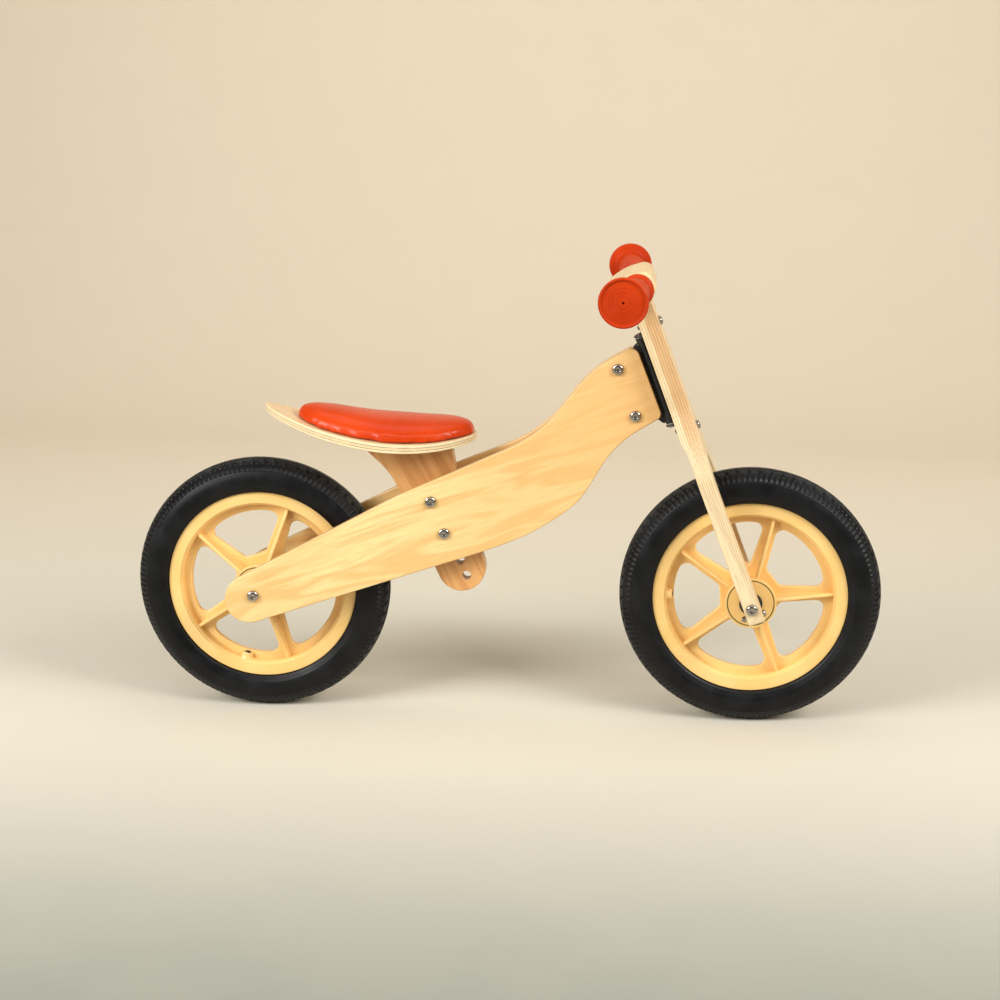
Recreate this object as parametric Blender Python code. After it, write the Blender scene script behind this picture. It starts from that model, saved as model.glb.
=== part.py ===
"""Wooden balance bike: plywood frame, hinged fork, moulded wheels with air tyres, padded seat.

Numbers are in millimetres and become metres when a mesh is made.
+X is forward, +Y is the rider's left, +Z is up.
The origin is on the ground, halfway between the two axles.
"""

import math

import bmesh
import bpy
from mathutils import Matrix, Vector

MM = 0.001
GAP = 0.3  # air between neighbouring pieces

# Wheels
WHEELBASE = 563.0
TYRE_RADIUS = 148.5
TYRE_HALF_WIDTH = 23.5
RIM_RADIUS = 110.3
RIM_HALF_WIDTH = 16.0
HUB_HALF_WIDTH = 38.0
HUB_RADIUS = 29.0
BEARING_RADIUS = 11.0
BEARING_WIDTH = 7.0
AXLE_RADIUS = 4.0
AXLE_BORE = AXLE_RADIUS + GAP
AXLE_BOSS_RADIUS = 9.0  # a spacer's narrow end, which touches only the bearing
AXLE_SPACER_RADIUS = 13.0
SPOKES = 5
SPOKE_HALF_WIDTH_INNER = 9.6
SPOKE_HALF_WIDTH_OUTER = 7.6
WINDOW_INNER = 36.0
WINDOW_OUTER = 86.0
WEB_HALF = 3.5
RIB_HALF = 1.9
REAR_SPOKE_ANGLE = -1.0
FRONT_SPOKE_ANGLE = 3.0
REAR_VALVE_ANGLE = 256.0
FRONT_VALVE_ANGLE = 180.0
STEM_RADIUS = 2.2
VALVE_OFFSET = -6.4  # the valve stands beside the wheel's middle web, on the right
VALVE_FOOT = 91.5  # where the stem ends, measured from the axle
CAP_LENGTH = 4.2
BOSS_TOP = 88.0
BOSS_RADIUS = 6.6
BOSS_WELL_RADIUS = 3.6

# Frame sides
PANEL_THICKNESS = 9.0
HEAD_HALF_WIDTH = 11.6  # outer faces of the two sides where they meet the head bracket
SPLAY = 0.139  # sideways travel for each millimetre towards the rear
SPLAY_START = 375.0  # forward of the rear axle, the sides run parallel from here
SPLAY_BLEND = 25.0

# Head and fork: distances across the fork count forward from the steering axis,
# and heights run up the fork from the axle
FORK_TILT = math.radians(21.0)
AXIS_TO_AXLE = 16.25
TUBE_RADIUS = 6.25
TUBE_BOTTOM = 218.9
TUBE_TOP = 320.9
WEB_HALF_THICKNESS = 2.3
PIN_RADIUS = 3.5
BUSH_RADIUS = 4.7
EAR_THICKNESS = 2.5
EAR_CLEARANCE = 1.2
BUSH_FLANGE = 0.6
LEAF_REAR = 6.85
LEAF_THICKNESS = 2.2
LEAF_HALF_WIDTH = 14.0
LEAF_BOTTOM = 197.0
LEAF_TOP = 340.0
FORK_FRONT = 26.0
FORK_REAR_UPPER = 4.0
FORK_REAR_LOWER = 7.3
FORK_STEP_HEIGHTS = (186.0, 200.0)  # the board's rear face steps in between these
FORK_TOP = 366.5
FORK_BOTTOM = -17.5
BLADE_OUTER = 65.0
BLADE_INNER = 41.5
FORK_BOLT_HEIGHTS = {"lower": 206.5, "upper": 331.5}
FORK_BOLT_RADIUS = 2.5
BLADE_BOLT_RADIUS = 2.0
BLADE_BOLT_HEIGHT = -11.0
BLADE_BOLT_SIDE = 53.0
DOWEL_RADIUS = 4.0
DOWEL_SIDE = 14.0
DOWEL_FORWARD = 15.0
DOWEL_REACH = 18.0

# Handlebar and grips
BAR_BLOCK_HALF = 58.0
BAR_RADIUS = 11.0
BAR_INNER = Vector((17.75, 60.0, 377.0))  # where the round bar leaves the block, on the left
BAR_OUTER = Vector((6.75, 200.0, 384.0))  # middle of the left end disc
GRIP_DISC_RADIUS = 25.7
GRIP_COLLAR_RADIUS = 18.0
GRIP_BODY_RADIUS = 14.8

# Seat
SEAT_APEX = (178.0, 325.6)  # lowest point of the seat board's top face
SEAT_CURVE = 0.0012
SEAT_THICKNESS = 10.4
SEAT_THINNING = 2.4  # how much thinner the board is at its tail and its nose
SEAT_TAIL = 6.5
SEAT_WIDEST = 150.0
SEAT_NOSE = 249.5
SEAT_HALF_WIDTH = 59.0
SEAT_SLICES = 22
CUSHION_TAIL = 44.0
CUSHION_NOSE = 247.0
CUSHION_HALF_WIDTH = 54.0
CUSHION_INSET = 5.0  # from the board's edge
CUSHION_WALL = 11.0
CUSHION_RISE = 15.5
CUSHION_SLICES = 14
POST_HALF_THICKNESS = 9.0
POST_HOLES = 6
POST_FIRST_HOLE = Vector((200.6, 256.7))
POST_HOLE_PITCH = 20.0
POST_HOLE_LEAN = math.radians(22.2)
POST_HOLE_RADIUS = 5.3
POST_BOLT_HOLES = {"upper": 0, "lower": 2}
SPACER_RADIUS = 11.0
SEAT_SCREWS = {"front": 205.0, "rear": 150.0}
SCREW_HEAD_RADIUS = 4.6
SCREW_RADIUS = 2.1
SCREW_LENGTH = 42.0

# Fasteners
BOLT_RADIUS = 3.0
BOLT_HOLE = 3.4
NUT_SLEEVE_WALL = 1.2
NUT_SLEEVE_LENGTH = 8.0
HEAD_RADIUS = 6.5
HEAD_HEIGHT = 3.8
SOCKET_RADIUS = 2.3
HEAD_BOLTS = {"upper": (408.7, 407.6), "lower": (429.1, 354.9)}

ROUND_SMALL = 12
ROUND_MEDIUM = 20
ROUND_LARGE = 40
ARC_STEP = math.radians(15.0)


for leftover in list(bpy.data.objects):
    bpy.data.objects.remove(leftover)


def material(name, colour, roughness, metallic=0.0):
    """A plain Principled surface."""
    made = bpy.data.materials.new(name)
    made.use_nodes = True
    shader = made.node_tree.nodes["Principled BSDF"]
    shader.inputs["Base Color"].default_value = (*colour, 1.0)
    shader.inputs["Roughness"].default_value = roughness
    shader.inputs["Metallic"].default_value = metallic
    return made


BIRCH = material("birch", (0.87, 0.68, 0.38), 0.45)
PLY_EDGE = material("ply_edge", (0.82, 0.65, 0.42), 0.5)
POST_WOOD = material("post_wood", (0.62, 0.34, 0.14), 0.5)
WHEEL_PLASTIC = material("wheel_plastic", (0.88, 0.62, 0.25), 0.4)
TYRE_RUBBER = material("tyre_rubber", (0.015, 0.016, 0.018), 0.6)
TUBE_RUBBER = material("tube_rubber", (0.03, 0.03, 0.03), 0.5)
GRIP_RUBBER = material("grip_rubber", (0.55, 0.06, 0.015), 0.45)
VINYL = material("vinyl", (0.75, 0.09, 0.02), 0.35)
BLACK_STEEL = material("black_steel", (0.02, 0.02, 0.02), 0.45, 0.6)
ZINC = material("zinc", (0.65, 0.65, 0.66), 0.3, 1.0)
CHROME = material("chrome", (0.8, 0.78, 0.75), 0.15, 1.0)
NYLON = material("nylon", (0.85, 0.84, 0.8), 0.5)
BLACK_PLASTIC = material("black_plastic", (0.02, 0.02, 0.02), 0.5)


def empty(name, location=(0, 0, 0), tilt=0.0, parent=None):
    """A frame of reference that pieces hang from."""
    made = bpy.data.objects.new(name, None)
    bpy.context.collection.objects.link(made)
    made.parent = parent
    made.location = Vector(location) * MM
    made.rotation_euler = (0.0, tilt, 0.0)
    return made


FORK_ACROSS = Vector((math.cos(FORK_TILT), 0.0, math.sin(FORK_TILT)))
REAR_HUB = empty("rear_hub_axis", (-WHEELBASE / 2, 0.0, TYRE_RADIUS))
FRONT_AXLE = Vector((WHEELBASE / 2, 0.0, TYRE_RADIUS))
FRAME = empty("frame_datum", (-WHEELBASE / 2, 0.0, 0.0))
HEAD = empty("head_datum", FRONT_AXLE - AXIS_TO_AXLE * FORK_ACROSS, -FORK_TILT)
STEERING = empty("steering_axis", parent=HEAD)
FRONT_HUB = empty("front_hub_axis", (AXIS_TO_AXLE, 0.0, 0.0), FORK_TILT, STEERING)


def finish(name, bm, surface, parent):
    """Turns a bmesh in millimetres into an object in metres."""
    bmesh.ops.recalc_face_normals(bm, faces=bm.faces)
    bmesh.ops.scale(bm, vec=(MM, MM, MM), verts=bm.verts)
    mesh = bpy.data.meshes.new(name)
    bm.to_mesh(mesh)
    bm.free()
    mesh.materials.append(surface)
    mesh.shade_smooth()
    mesh.set_sharp_from_angle(angle=math.radians(35.0))
    made = bpy.data.objects.new(name, mesh)
    bpy.context.collection.objects.link(made)
    made.parent = parent
    return made


def combine(base, operation, others):
    """Joins to, or cuts from, the base, and hides the operands."""
    for other in others:
        other.hide_render = True
        other.display_type = "WIRE"
        boolean = base.modifiers.new(f"{operation.lower()}_{other.name}", "BOOLEAN")
        boolean.operation = operation
        boolean.solver = "EXACT"
        boolean.object = other
    return base


def rounded(corners):
    """A closed outline through (x, z, radius) corners, with an arc at each corner that has a radius."""
    outline = []
    for index, (x, z, radius) in enumerate(corners):
        here = Vector((x, z))
        back = (Vector(corners[index - 1][:2]) - here).normalized()
        ahead = (Vector(corners[(index + 1) % len(corners)][:2]) - here).normalized()
        inside = back.angle(ahead)
        if radius == 0:
            outline.append(here)
            continue
        centre = here + (back + ahead).normalized() * radius / math.sin(inside / 2)
        start = here + back * radius / math.tan(inside / 2)
        sweep = math.pi - inside
        turn = math.copysign(1.0, back.x * ahead.y - back.y * ahead.x)
        steps = max(2, math.ceil(sweep / ARC_STEP))
        for step in range(steps + 1):
            spin = Matrix.Rotation(-turn * sweep * step / steps, 2)
            outline.append(centre + spin @ (start - centre))
    return outline


def circle(centre, radius, sides=ROUND_SMALL):
    """A closed round outline."""
    angles = (2 * math.pi * (side + 0.5) / sides for side in range(sides))
    return [Vector((centre[0] + radius * math.cos(a), centre[1] + radius * math.sin(a))) for a in angles]


def slab(outline, holes, low, high, axis="Y"):
    """A bmesh of an outline with holes, drawn across the axis and extruded along it from low to high."""
    bm = bmesh.new()
    place = {
        "X": lambda p: (low, p[0], p[1]),
        "Y": lambda p: (p[0], low, p[1]),
        "Z": lambda p: (p[0], p[1], low),
    }[axis]
    edges = []
    for loop in [outline, *holes]:
        points = [bm.verts.new(place(point)) for point in loop]
        edges += [bm.edges.new((points[i - 1], points[i])) for i in range(len(points))]
    bmesh.ops.triangle_fill(bm, edges=edges, use_beauty=True)
    raised = bmesh.ops.extrude_face_region(bm, geom=bm.faces[:])
    lift = Vector([high - low if letter == axis else 0.0 for letter in "XYZ"])
    moved = [item for item in raised["geom"] if isinstance(item, bmesh.types.BMVert)]
    bmesh.ops.translate(bm, vec=lift, verts=moved)
    return bm


def turned(profile, sides, closed=False):
    """A bmesh turned about Y from (radius, y) points.  An open profile starts and ends on the axis."""
    bm = bmesh.new()
    points = [bm.verts.new((radius, along, 0.0)) for radius, along in profile]
    edges = [bm.edges.new(pair) for pair in zip(points, points[1:])]
    if closed:
        edges.append(bm.edges.new((points[-1], points[0])))
    bmesh.ops.spin(
        bm,
        geom=points + edges,
        cent=(0, 0, 0),
        axis=(0, 1, 0),
        angle=2 * math.pi,
        steps=sides,
        use_merge=True,
    )
    bmesh.ops.remove_doubles(bm, verts=bm.verts, dist=0.001)
    return bm


def tube_between(inner, outer, low, high):
    """The profile of a plain tube."""
    return [(inner, low), (outer, low), (outer, high), (inner, high)]


def rod(name, surface, parent, radius, start, end, sides=ROUND_SMALL):
    """A plain cylinder between two points."""
    start, end = Vector(start), Vector(end)
    bm = bmesh.new()
    bmesh.ops.create_cone(
        bm, cap_ends=True, segments=sides, radius1=radius, radius2=radius, depth=(end - start).length
    )
    turn = Vector((0, 0, 1)).rotation_difference(end - start).to_matrix().to_4x4()
    bmesh.ops.transform(bm, matrix=Matrix.Translation((start + end) / 2) @ turn, verts=bm.verts)
    return finish(name, bm, surface, parent)


def block(name, low, high):
    """A plain box between two corners, which cuts the fork."""
    low, high = Vector(low), Vector(high)
    bm = bmesh.new()
    bmesh.ops.create_cube(bm, size=1.0)
    size = Matrix.Diagonal((high - low).to_4d())
    size[3][3] = 1.0
    bmesh.ops.transform(bm, matrix=Matrix.Translation((low + high) / 2) @ size, verts=bm.verts)
    return finish(name, bm, PLY_EDGE, STEERING)


# ---------------------------------------------------------------- frame


def panel_outer(forward):
    """Distance of a side panel's outer face from the middle plane, at a distance forward of the rear axle."""
    behind = SPLAY_START - forward
    return HEAD_HALF_WIDTH + SPLAY * (behind + math.hypot(behind, SPLAY_BLEND)) / 2


def panel_inner(forward):
    """Distance of a side panel's inner face from the middle plane."""
    return panel_outer(forward) - PANEL_THICKNESS


PANEL_OUTLINE = [
    (-31.8, 106.9, 27.2),
    (257.9, 197.3, 500.0),
    (314.2, 217.6, 220.0),
    (367.0, 254.0, 85.0),
    (407.2, 322.4, 115.0),
    (459.4, 354.7, 8.0),
    (428.3, 434.3, 9.0),
    (378.9, 407.5, 140.0),
    (323.5, 332.8, 160.0),
    (165.0, 265.0, 450.0),
    (-31.8, 161.9, 27.2),
]
BEND_STATIONS = [300, 325, 345, 360, 375, 390, 410]


def post_hole(index):
    """Centre of a hole in the seat post, counted from the top."""
    lean = Vector((math.sin(POST_HOLE_LEAN), -math.cos(POST_HOLE_LEAN)))
    return POST_FIRST_HOLE + index * POST_HOLE_PITCH * lean


FRAME_BOLTS = {f"head_{place}": at for place, at in HEAD_BOLTS.items()}
FRAME_BOLTS.update({f"seat_{place}": tuple(post_hole(index)) for place, index in POST_BOLT_HOLES.items()})
REAR_AXLE = (0.0, TYRE_RADIUS)


def side_panel(name, side):
    """One plywood side, cut flat and then bent out to its splay.

    Side is -1 on the right and 1 on the left.
    """
    extra = 0.4 if side < 0 else 2 * GAP + NUT_SLEEVE_WALL + 0.2
    holes = [circle(at, BOLT_RADIUS + extra) for at in FRAME_BOLTS.values()]
    holes.append(circle(REAR_AXLE, AXLE_RADIUS + extra))
    bm = slab(rounded(PANEL_OUTLINE), holes, 0.0, PANEL_THICKNESS)
    for station in BEND_STATIONS:
        parts = bm.verts[:] + bm.edges[:] + bm.faces[:]
        bmesh.ops.bisect_plane(bm, geom=parts, plane_co=(station, 0, 0), plane_no=(1, 0, 0))
    for point in bm.verts:
        point.co.y = side * (panel_inner(point.co.x) + point.co.y)
    bmesh.ops.triangulate(bm, faces=bm.faces)
    return finish(name, bm, BIRCH, FRAME)


def head_bracket():
    """The steering tube with its web plate, which the two sides clamp."""
    web = [
        (-47.0, 229.0, 6.0),
        (-14.0, 229.0, 7.0),
        (-9.0, 220.5, 5.0),
        (-3.0, 220.5, 0.0),
        (-3.0, 316.0, 0.0),
        (-9.0, 316.0, 5.0),
        (-15.0, 309.5, 8.0),
        (-47.0, 309.5, 6.0),
    ]
    down = HEAD.matrix_basis.inverted() @ FRAME.matrix_basis
    holes = []
    for forward, height in HEAD_BOLTS.values():
        at = down @ (Vector((forward, 0.0, height)) * MM) / MM
        holes.append(circle((at.x, at.z), BOLT_HOLE))
    plate = slab(rounded(web), holes, -WEB_HALF_THICKNESS, WEB_HALF_THICKNESS)
    bracket = finish("head_bracket", plate, BLACK_STEEL, HEAD)
    tube = rod("head_tube_stock", BLACK_STEEL, HEAD, TUBE_RADIUS, (0, 0, TUBE_BOTTOM), (0, 0, TUBE_TOP), 20)
    bore = rod("head_tube_bore", BLACK_STEEL, HEAD, BUSH_RADIUS + GAP, (0, 0, 200), (0, 0, 340), 20)
    combine(bracket, "UNION", [tube])
    combine(bracket, "DIFFERENCE", [bore])


def stand_up(bm):
    """Turns a shape that was turned about Y so that its axis is Z."""
    bmesh.ops.rotate(bm, verts=bm.verts, cent=(0, 0, 0), matrix=Matrix.Rotation(math.pi / 2, 3, "X"))
    return bm


def steering_bush(name, end, inward):
    """A nylon bush with a thin flange at the tube's end.  Inward is 1 for up and -1 for down."""
    length = 14.0
    lip = end - inward * (GAP + BUSH_FLANGE)
    profile = [
        (PIN_RADIUS + GAP, lip),
        (TUBE_RADIUS - 0.6, lip),
        (TUBE_RADIUS - 0.6, lip + inward * BUSH_FLANGE),
        (BUSH_RADIUS, lip + inward * BUSH_FLANGE),
        (BUSH_RADIUS, end + inward * length),
        (PIN_RADIUS + GAP, end + inward * length),
    ]
    finish(name, stand_up(turned(profile, 16, closed=True)), NYLON, HEAD)


def seat_top(forward):
    """Height of the seat board's top face."""
    return SEAT_APEX[1] + SEAT_CURVE * (forward - SEAT_APEX[0]) ** 2


def seat_underside(forward):
    """Height of the seat board's lower face: the board thins towards its two ends."""
    middle = (SEAT_TAIL + SEAT_NOSE) / 2
    part = (forward - middle) / (SEAT_NOSE - middle)
    return seat_top(forward) - SEAT_THICKNESS + SEAT_THINNING * part**2


def seat_half_width(forward):
    """Half width of the seat board: a tapering tail with a blunt tip, widest over the post, a round nose."""
    if forward <= SEAT_WIDEST:
        along = (forward - SEAT_TAIL) / (SEAT_WIDEST - SEAT_TAIL)
        return SEAT_HALF_WIDTH * along**0.55 * (1.25 - 0.25 * along)
    along = (forward - SEAT_WIDEST) / (SEAT_NOSE - SEAT_WIDEST)
    return SEAT_HALF_WIDTH * (1.0 - along**2.6) ** 0.5


def seat_post():
    """The flat board that carries the seat, with a row of holes for its height."""
    top = []
    stations = [221.4, 200.0, 176.0, 152.0, 130.0, 111.0]
    for forward in stations:
        top.append((forward, seat_underside(forward) - 2 * GAP, 0.0))
    outline = [*top, (151.7, 283.2, 90.0), (214.5, 145.3, 28.3), (270.4, 146.0, 28.0), (226.4, 285.0, 25.0)]
    holes = [circle(post_hole(index), POST_HOLE_RADIUS, 16) for index in range(POST_HOLES)]
    body = slab(rounded(outline), holes, -POST_HALF_THICKNESS, POST_HALF_THICKNESS)
    post = finish("seat_post", body, POST_WOOD, FRAME)
    pilots = []
    for place, forward in SEAT_SCREWS.items():
        top_face = (forward, 0, seat_top(forward))
        foot = (forward, 0, seat_top(forward) - SCREW_LENGTH - 12.0)
        pilots.append(rod(f"pilot_{place}", POST_WOOD, FRAME, SCREW_RADIUS + GAP, foot, top_face, 8))
    combine(post, "DIFFERENCE", pilots)


def seat_stations(start, end, count):
    """Places along the seat, closer together near its two ends."""
    middle, half = (start + end) / 2, (end - start) / 2
    return [middle - half * math.cos(math.pi * step / count) for step in range(count + 1)]


def skin_rows(bm, rows):
    """Joins rings of points, one after the other, and closes the two ends."""
    for row, following in zip(rows, rows[1:]):
        for corner in range(len(row)):
            beside = (corner + 1) % len(row)
            bm.faces.new((row[corner], row[beside], following[beside], following[corner]))
    bm.faces.new(rows[0])
    bm.faces.new(rows[-1])


def seat_board():
    """The moulded plywood seat: a thin dished board with a pointed tail."""
    bm = bmesh.new()
    rows = []
    for forward in seat_stations(SEAT_TAIL + 0.4, SEAT_NOSE - 0.4, SEAT_SLICES):
        half = seat_half_width(forward)
        top, bottom = seat_top(forward), seat_underside(forward)
        corners = [(-half, top), (half, top), (half, bottom), (-half, bottom)]
        rows.append([bm.verts.new((forward, side, level)) for side, level in corners])
    skin_rows(bm, rows)
    board = finish("seat_board", bm, PLY_EDGE, FRAME)
    holes = []
    for place, forward in SEAT_SCREWS.items():
        height = seat_top(forward)
        above = (forward, 0, height + 5)
        below = (forward, 0, height - 2 * SEAT_THICKNESS)
        sink = (forward, 0, height - 3.4)
        holes.append(rod(f"shank_{place}", PLY_EDGE, FRAME, SCREW_RADIUS + 2 * GAP, below, above, 8))
        holes.append(rod(f"sink_{place}", PLY_EDGE, FRAME, SCREW_HEAD_RADIUS + 2 * GAP, sink, above))
    combine(board, "DIFFERENCE", holes)


def seat_cushion():
    """The padded top as a plain closed solid: a low wall and a crowned top that follow the board."""
    bm = bmesh.new()
    rows = []
    for forward in seat_stations(CUSHION_TAIL + 0.6, CUSHION_NOSE - 0.6, CUSHION_SLICES):
        along = (forward - CUSHION_TAIL) / (CUSHION_NOSE - CUSHION_TAIL)
        blunt = (4.0 * along * (1.0 - along)) ** 0.25
        tail_taper = (min(along, 0.32) / 0.32) ** 0.45
        half = min(seat_half_width(forward) - CUSHION_INSET, CUSHION_HALF_WIDTH * tail_taper)
        base = seat_top(forward) + GAP + 0.2
        points = [(-half, base), (-half, base + CUSHION_WALL * blunt)]
        for across in (-0.78, -0.4, 0.0, 0.4, 0.78):
            crown = CUSHION_WALL + CUSHION_RISE * (1.0 - across**2) ** 0.8 * (1.0 - 0.3 * along)
            points.append((half * across, base + crown * blunt))
        points += [(half, base + CUSHION_WALL * blunt), (half, base)]
        rows.append([bm.verts.new((forward, side, level)) for side, level in points])
    skin_rows(bm, rows)
    bmesh.ops.triangulate(bm, faces=bm.faces)
    finish("seat_cushion", bm, VINYL, FRAME)


def seat_screw(place, forward):
    """A countersunk wood screw through the seat board into the end grain of the post."""
    profile = [
        (0.0, 0.0),
        (SCREW_HEAD_RADIUS, 0.0),
        (SCREW_RADIUS + 0.1, -2.6),
        (SCREW_RADIUS, 4.0 - SCREW_LENGTH),
        (0.0, -SCREW_LENGTH),
    ]
    bm = stand_up(turned(profile, ROUND_SMALL))
    bmesh.ops.translate(bm, vec=(forward, 0, seat_top(forward) - 0.2), verts=bm.verts)
    finish(f"seat_screw_{place}", bm, ZINC, FRAME)


def lean_head(bm, centre, side):
    """Shears the part of a fastener outside the panel so that its head sits flat on the splayed face."""
    forward = centre[0]
    slope = panel_outer(forward + 1) - panel_outer(forward)
    for point in bm.verts:
        if side * point.co.y >= panel_outer(forward) - 0.01:
            point.co.y += side * slope * (point.co.x - forward)


def button_head(reach, radius=HEAD_RADIUS, height=HEAD_HEIGHT):
    """Profile of a domed head with its socket.  Reach is where the head's flat underside lies."""
    top = reach + height
    return [
        (0.0, top - 2.0),
        (SOCKET_RADIUS, top - 2.0),
        (SOCKET_RADIUS, top),
        (radius * 0.62, top - 0.5),
        (radius, reach + 1.0),
        (radius, reach),
    ]


def cross_bolt(name, at, reach_right, reach_left, shank=BOLT_RADIUS, parent=FRAME, lean=True):
    """A bolt from the right and the sleeve nut that takes its end on the left, both along Y."""
    sleeve_inner = shank + GAP
    sleeve_outer = sleeve_inner + NUT_SLEEVE_WALL
    bolt = button_head(reach_right)
    bolt += [(shank, reach_right), (shank, -(reach_left - 3.0)), (0.0, -(reach_left - 3.0))]
    bm = turned([(radius, -along) for radius, along in bolt], ROUND_SMALL)
    bmesh.ops.translate(bm, vec=(at[0], 0, at[1]), verts=bm.verts)
    if lean:
        lean_head(bm, at, -1)
    finish(f"{name}_bolt", bm, CHROME, parent)
    nut = button_head(reach_left)
    nut += [
        (sleeve_outer, reach_left),
        (sleeve_outer, reach_left - NUT_SLEEVE_LENGTH),
        (sleeve_inner, reach_left - NUT_SLEEVE_LENGTH),
        (sleeve_inner, reach_left - 2.0),
        (0.0, reach_left - 2.0),
    ]
    bm = turned(nut, ROUND_SMALL)
    bmesh.ops.translate(bm, vec=(at[0], 0, at[1]), verts=bm.verts)
    if lean:
        lean_head(bm, at, 1)
    finish(f"{name}_nut", bm, CHROME, parent)


def splayed_tube(profile, at, side, sides):
    """Turns a tube about Y at a place on the frame and slants the end that meets the panel."""
    face = panel_inner(at[0]) - GAP
    bm = turned([(radius, side * along) for radius, along in profile], sides, closed=True)
    bmesh.ops.translate(bm, vec=(at[0], 0, at[1]), verts=bm.verts)
    for point in bm.verts:
        if abs(side * point.co.y - face) < 0.01:
            point.co.y = side * (panel_inner(point.co.x) - GAP)
    return bm


def seat_spacer(name, at, side):
    """A turned wooden spacer between a side and the post, with a spigot in the post's hole."""
    shoulder = POST_HALF_THICKNESS + GAP
    face = panel_inner(at[0]) - GAP
    profile = [
        (BOLT_RADIUS + 1.5, face),
        (SPACER_RADIUS, face),
        (SPACER_RADIUS, shoulder),
        (POST_HOLE_RADIUS - GAP, shoulder),
        (POST_HOLE_RADIUS - GAP, 1.0),
        (BOLT_RADIUS + 1.5, 1.0),
    ]
    finish(name, splayed_tube(profile, at, side, 16), PLY_EDGE, FRAME)


def axle_spacer(name, parent, at_splay, side, profile):
    """A spacer on an axle, between the bearing and the frame or the fork."""
    if at_splay:
        bm = splayed_tube(profile, REAR_AXLE, side, 16)
    else:
        bm = turned([(radius, side * along) for radius, along in profile], 16, closed=True)
    finish(name, bm, BLACK_PLASTIC, parent)


def build_frame():
    """Everything that stays still when the bars and the wheels turn."""
    side_panel("frame_side_right", -1)
    side_panel("frame_side_left", 1)
    head_bracket()
    steering_bush("steering_bush_upper", TUBE_TOP, -1)
    steering_bush("steering_bush_lower", TUBE_BOTTOM, 1)
    seat_post()
    seat_board()
    seat_cushion()
    for place, forward in SEAT_SCREWS.items():
        seat_screw(place, forward)
    for name, at in FRAME_BOLTS.items():
        reach = panel_outer(at[0]) + GAP
        cross_bolt(name, at, reach, reach)
    for place in POST_BOLT_HOLES:
        at = FRAME_BOLTS[f"seat_{place}"]
        seat_spacer(f"seat_spacer_{place}_right", at, -1)
        seat_spacer(f"seat_spacer_{place}_left", at, 1)
    at = REAR_AXLE
    reach = panel_outer(at[0]) + GAP
    cross_bolt("rear_axle", at, reach, reach, shank=AXLE_RADIUS)
    start = HUB_HALF_WIDTH + 2 * GAP
    face = panel_inner(at[0]) - GAP
    bore = AXLE_RADIUS + 2 * GAP + NUT_SLEEVE_WALL  # wide enough for the nut's sleeve
    profile = [
        (bore, start),
        (AXLE_BOSS_RADIUS, start),
        (AXLE_SPACER_RADIUS, start + 2.5),
        (AXLE_SPACER_RADIUS, face),
        (bore, face),
    ]
    axle_spacer("rear_spacer_right", FRAME, True, -1, profile)
    axle_spacer("rear_spacer_left", FRAME, True, 1, profile)


# ---------------------------------------------------------------- wheels


def mirrored(half):
    """A profile and its mirror image, as one closed loop of (radius, y) points."""
    return half + [(radius, -along) for radius, along in reversed(half)]


def polar(radius, angle):
    """A point across the wheel."""
    return Vector((radius * math.cos(angle), radius * math.sin(angle)))


def window(index):
    """Outline of the opening between two spokes, with round corners and a curved outer side."""
    middle = 2 * math.pi * (index + 0.5) / SPOKES
    half_sector = math.pi / SPOKES
    edge_inner = half_sector - math.asin(SPOKE_HALF_WIDTH_INNER / WINDOW_INNER)
    edge_outer = half_sector - math.asin(SPOKE_HALF_WIDTH_OUTER / WINDOW_OUTER)
    corners = [
        (*polar(WINDOW_INNER, middle - edge_inner), 7.0),
        (*polar(WINDOW_OUTER, middle - edge_outer), 9.0),
    ]
    for part in (-0.45, 0.0, 0.45):
        corners.append((*polar(WINDOW_OUTER, middle + part * edge_outer), 0.0))
    corners += [
        (*polar(WINDOW_OUTER, middle + edge_outer), 9.0),
        (*polar(WINDOW_INNER, middle + edge_inner), 7.0),
    ]
    return rounded(corners)


def hub_profile():
    """The hub as a closed loop: a bearing seat at each end and a waist between its two flanges."""
    bearing_seat = HUB_HALF_WIDTH - BEARING_WIDTH - GAP
    shoulder = BEARING_RADIUS - 2.5
    outside = [
        (BEARING_RADIUS + GAP, -HUB_HALF_WIDTH),
        (HUB_RADIUS, -HUB_HALF_WIDTH),
        (HUB_RADIUS, 4.5 - HUB_HALF_WIDTH),
        (24.0, 7.5 - HUB_HALF_WIDTH),
        (22.0, -8.0),
    ]
    inside = [(BEARING_RADIUS + GAP, bearing_seat), (shoulder, bearing_seat)]
    return mirrored(outside) + mirrored(inside)


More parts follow.
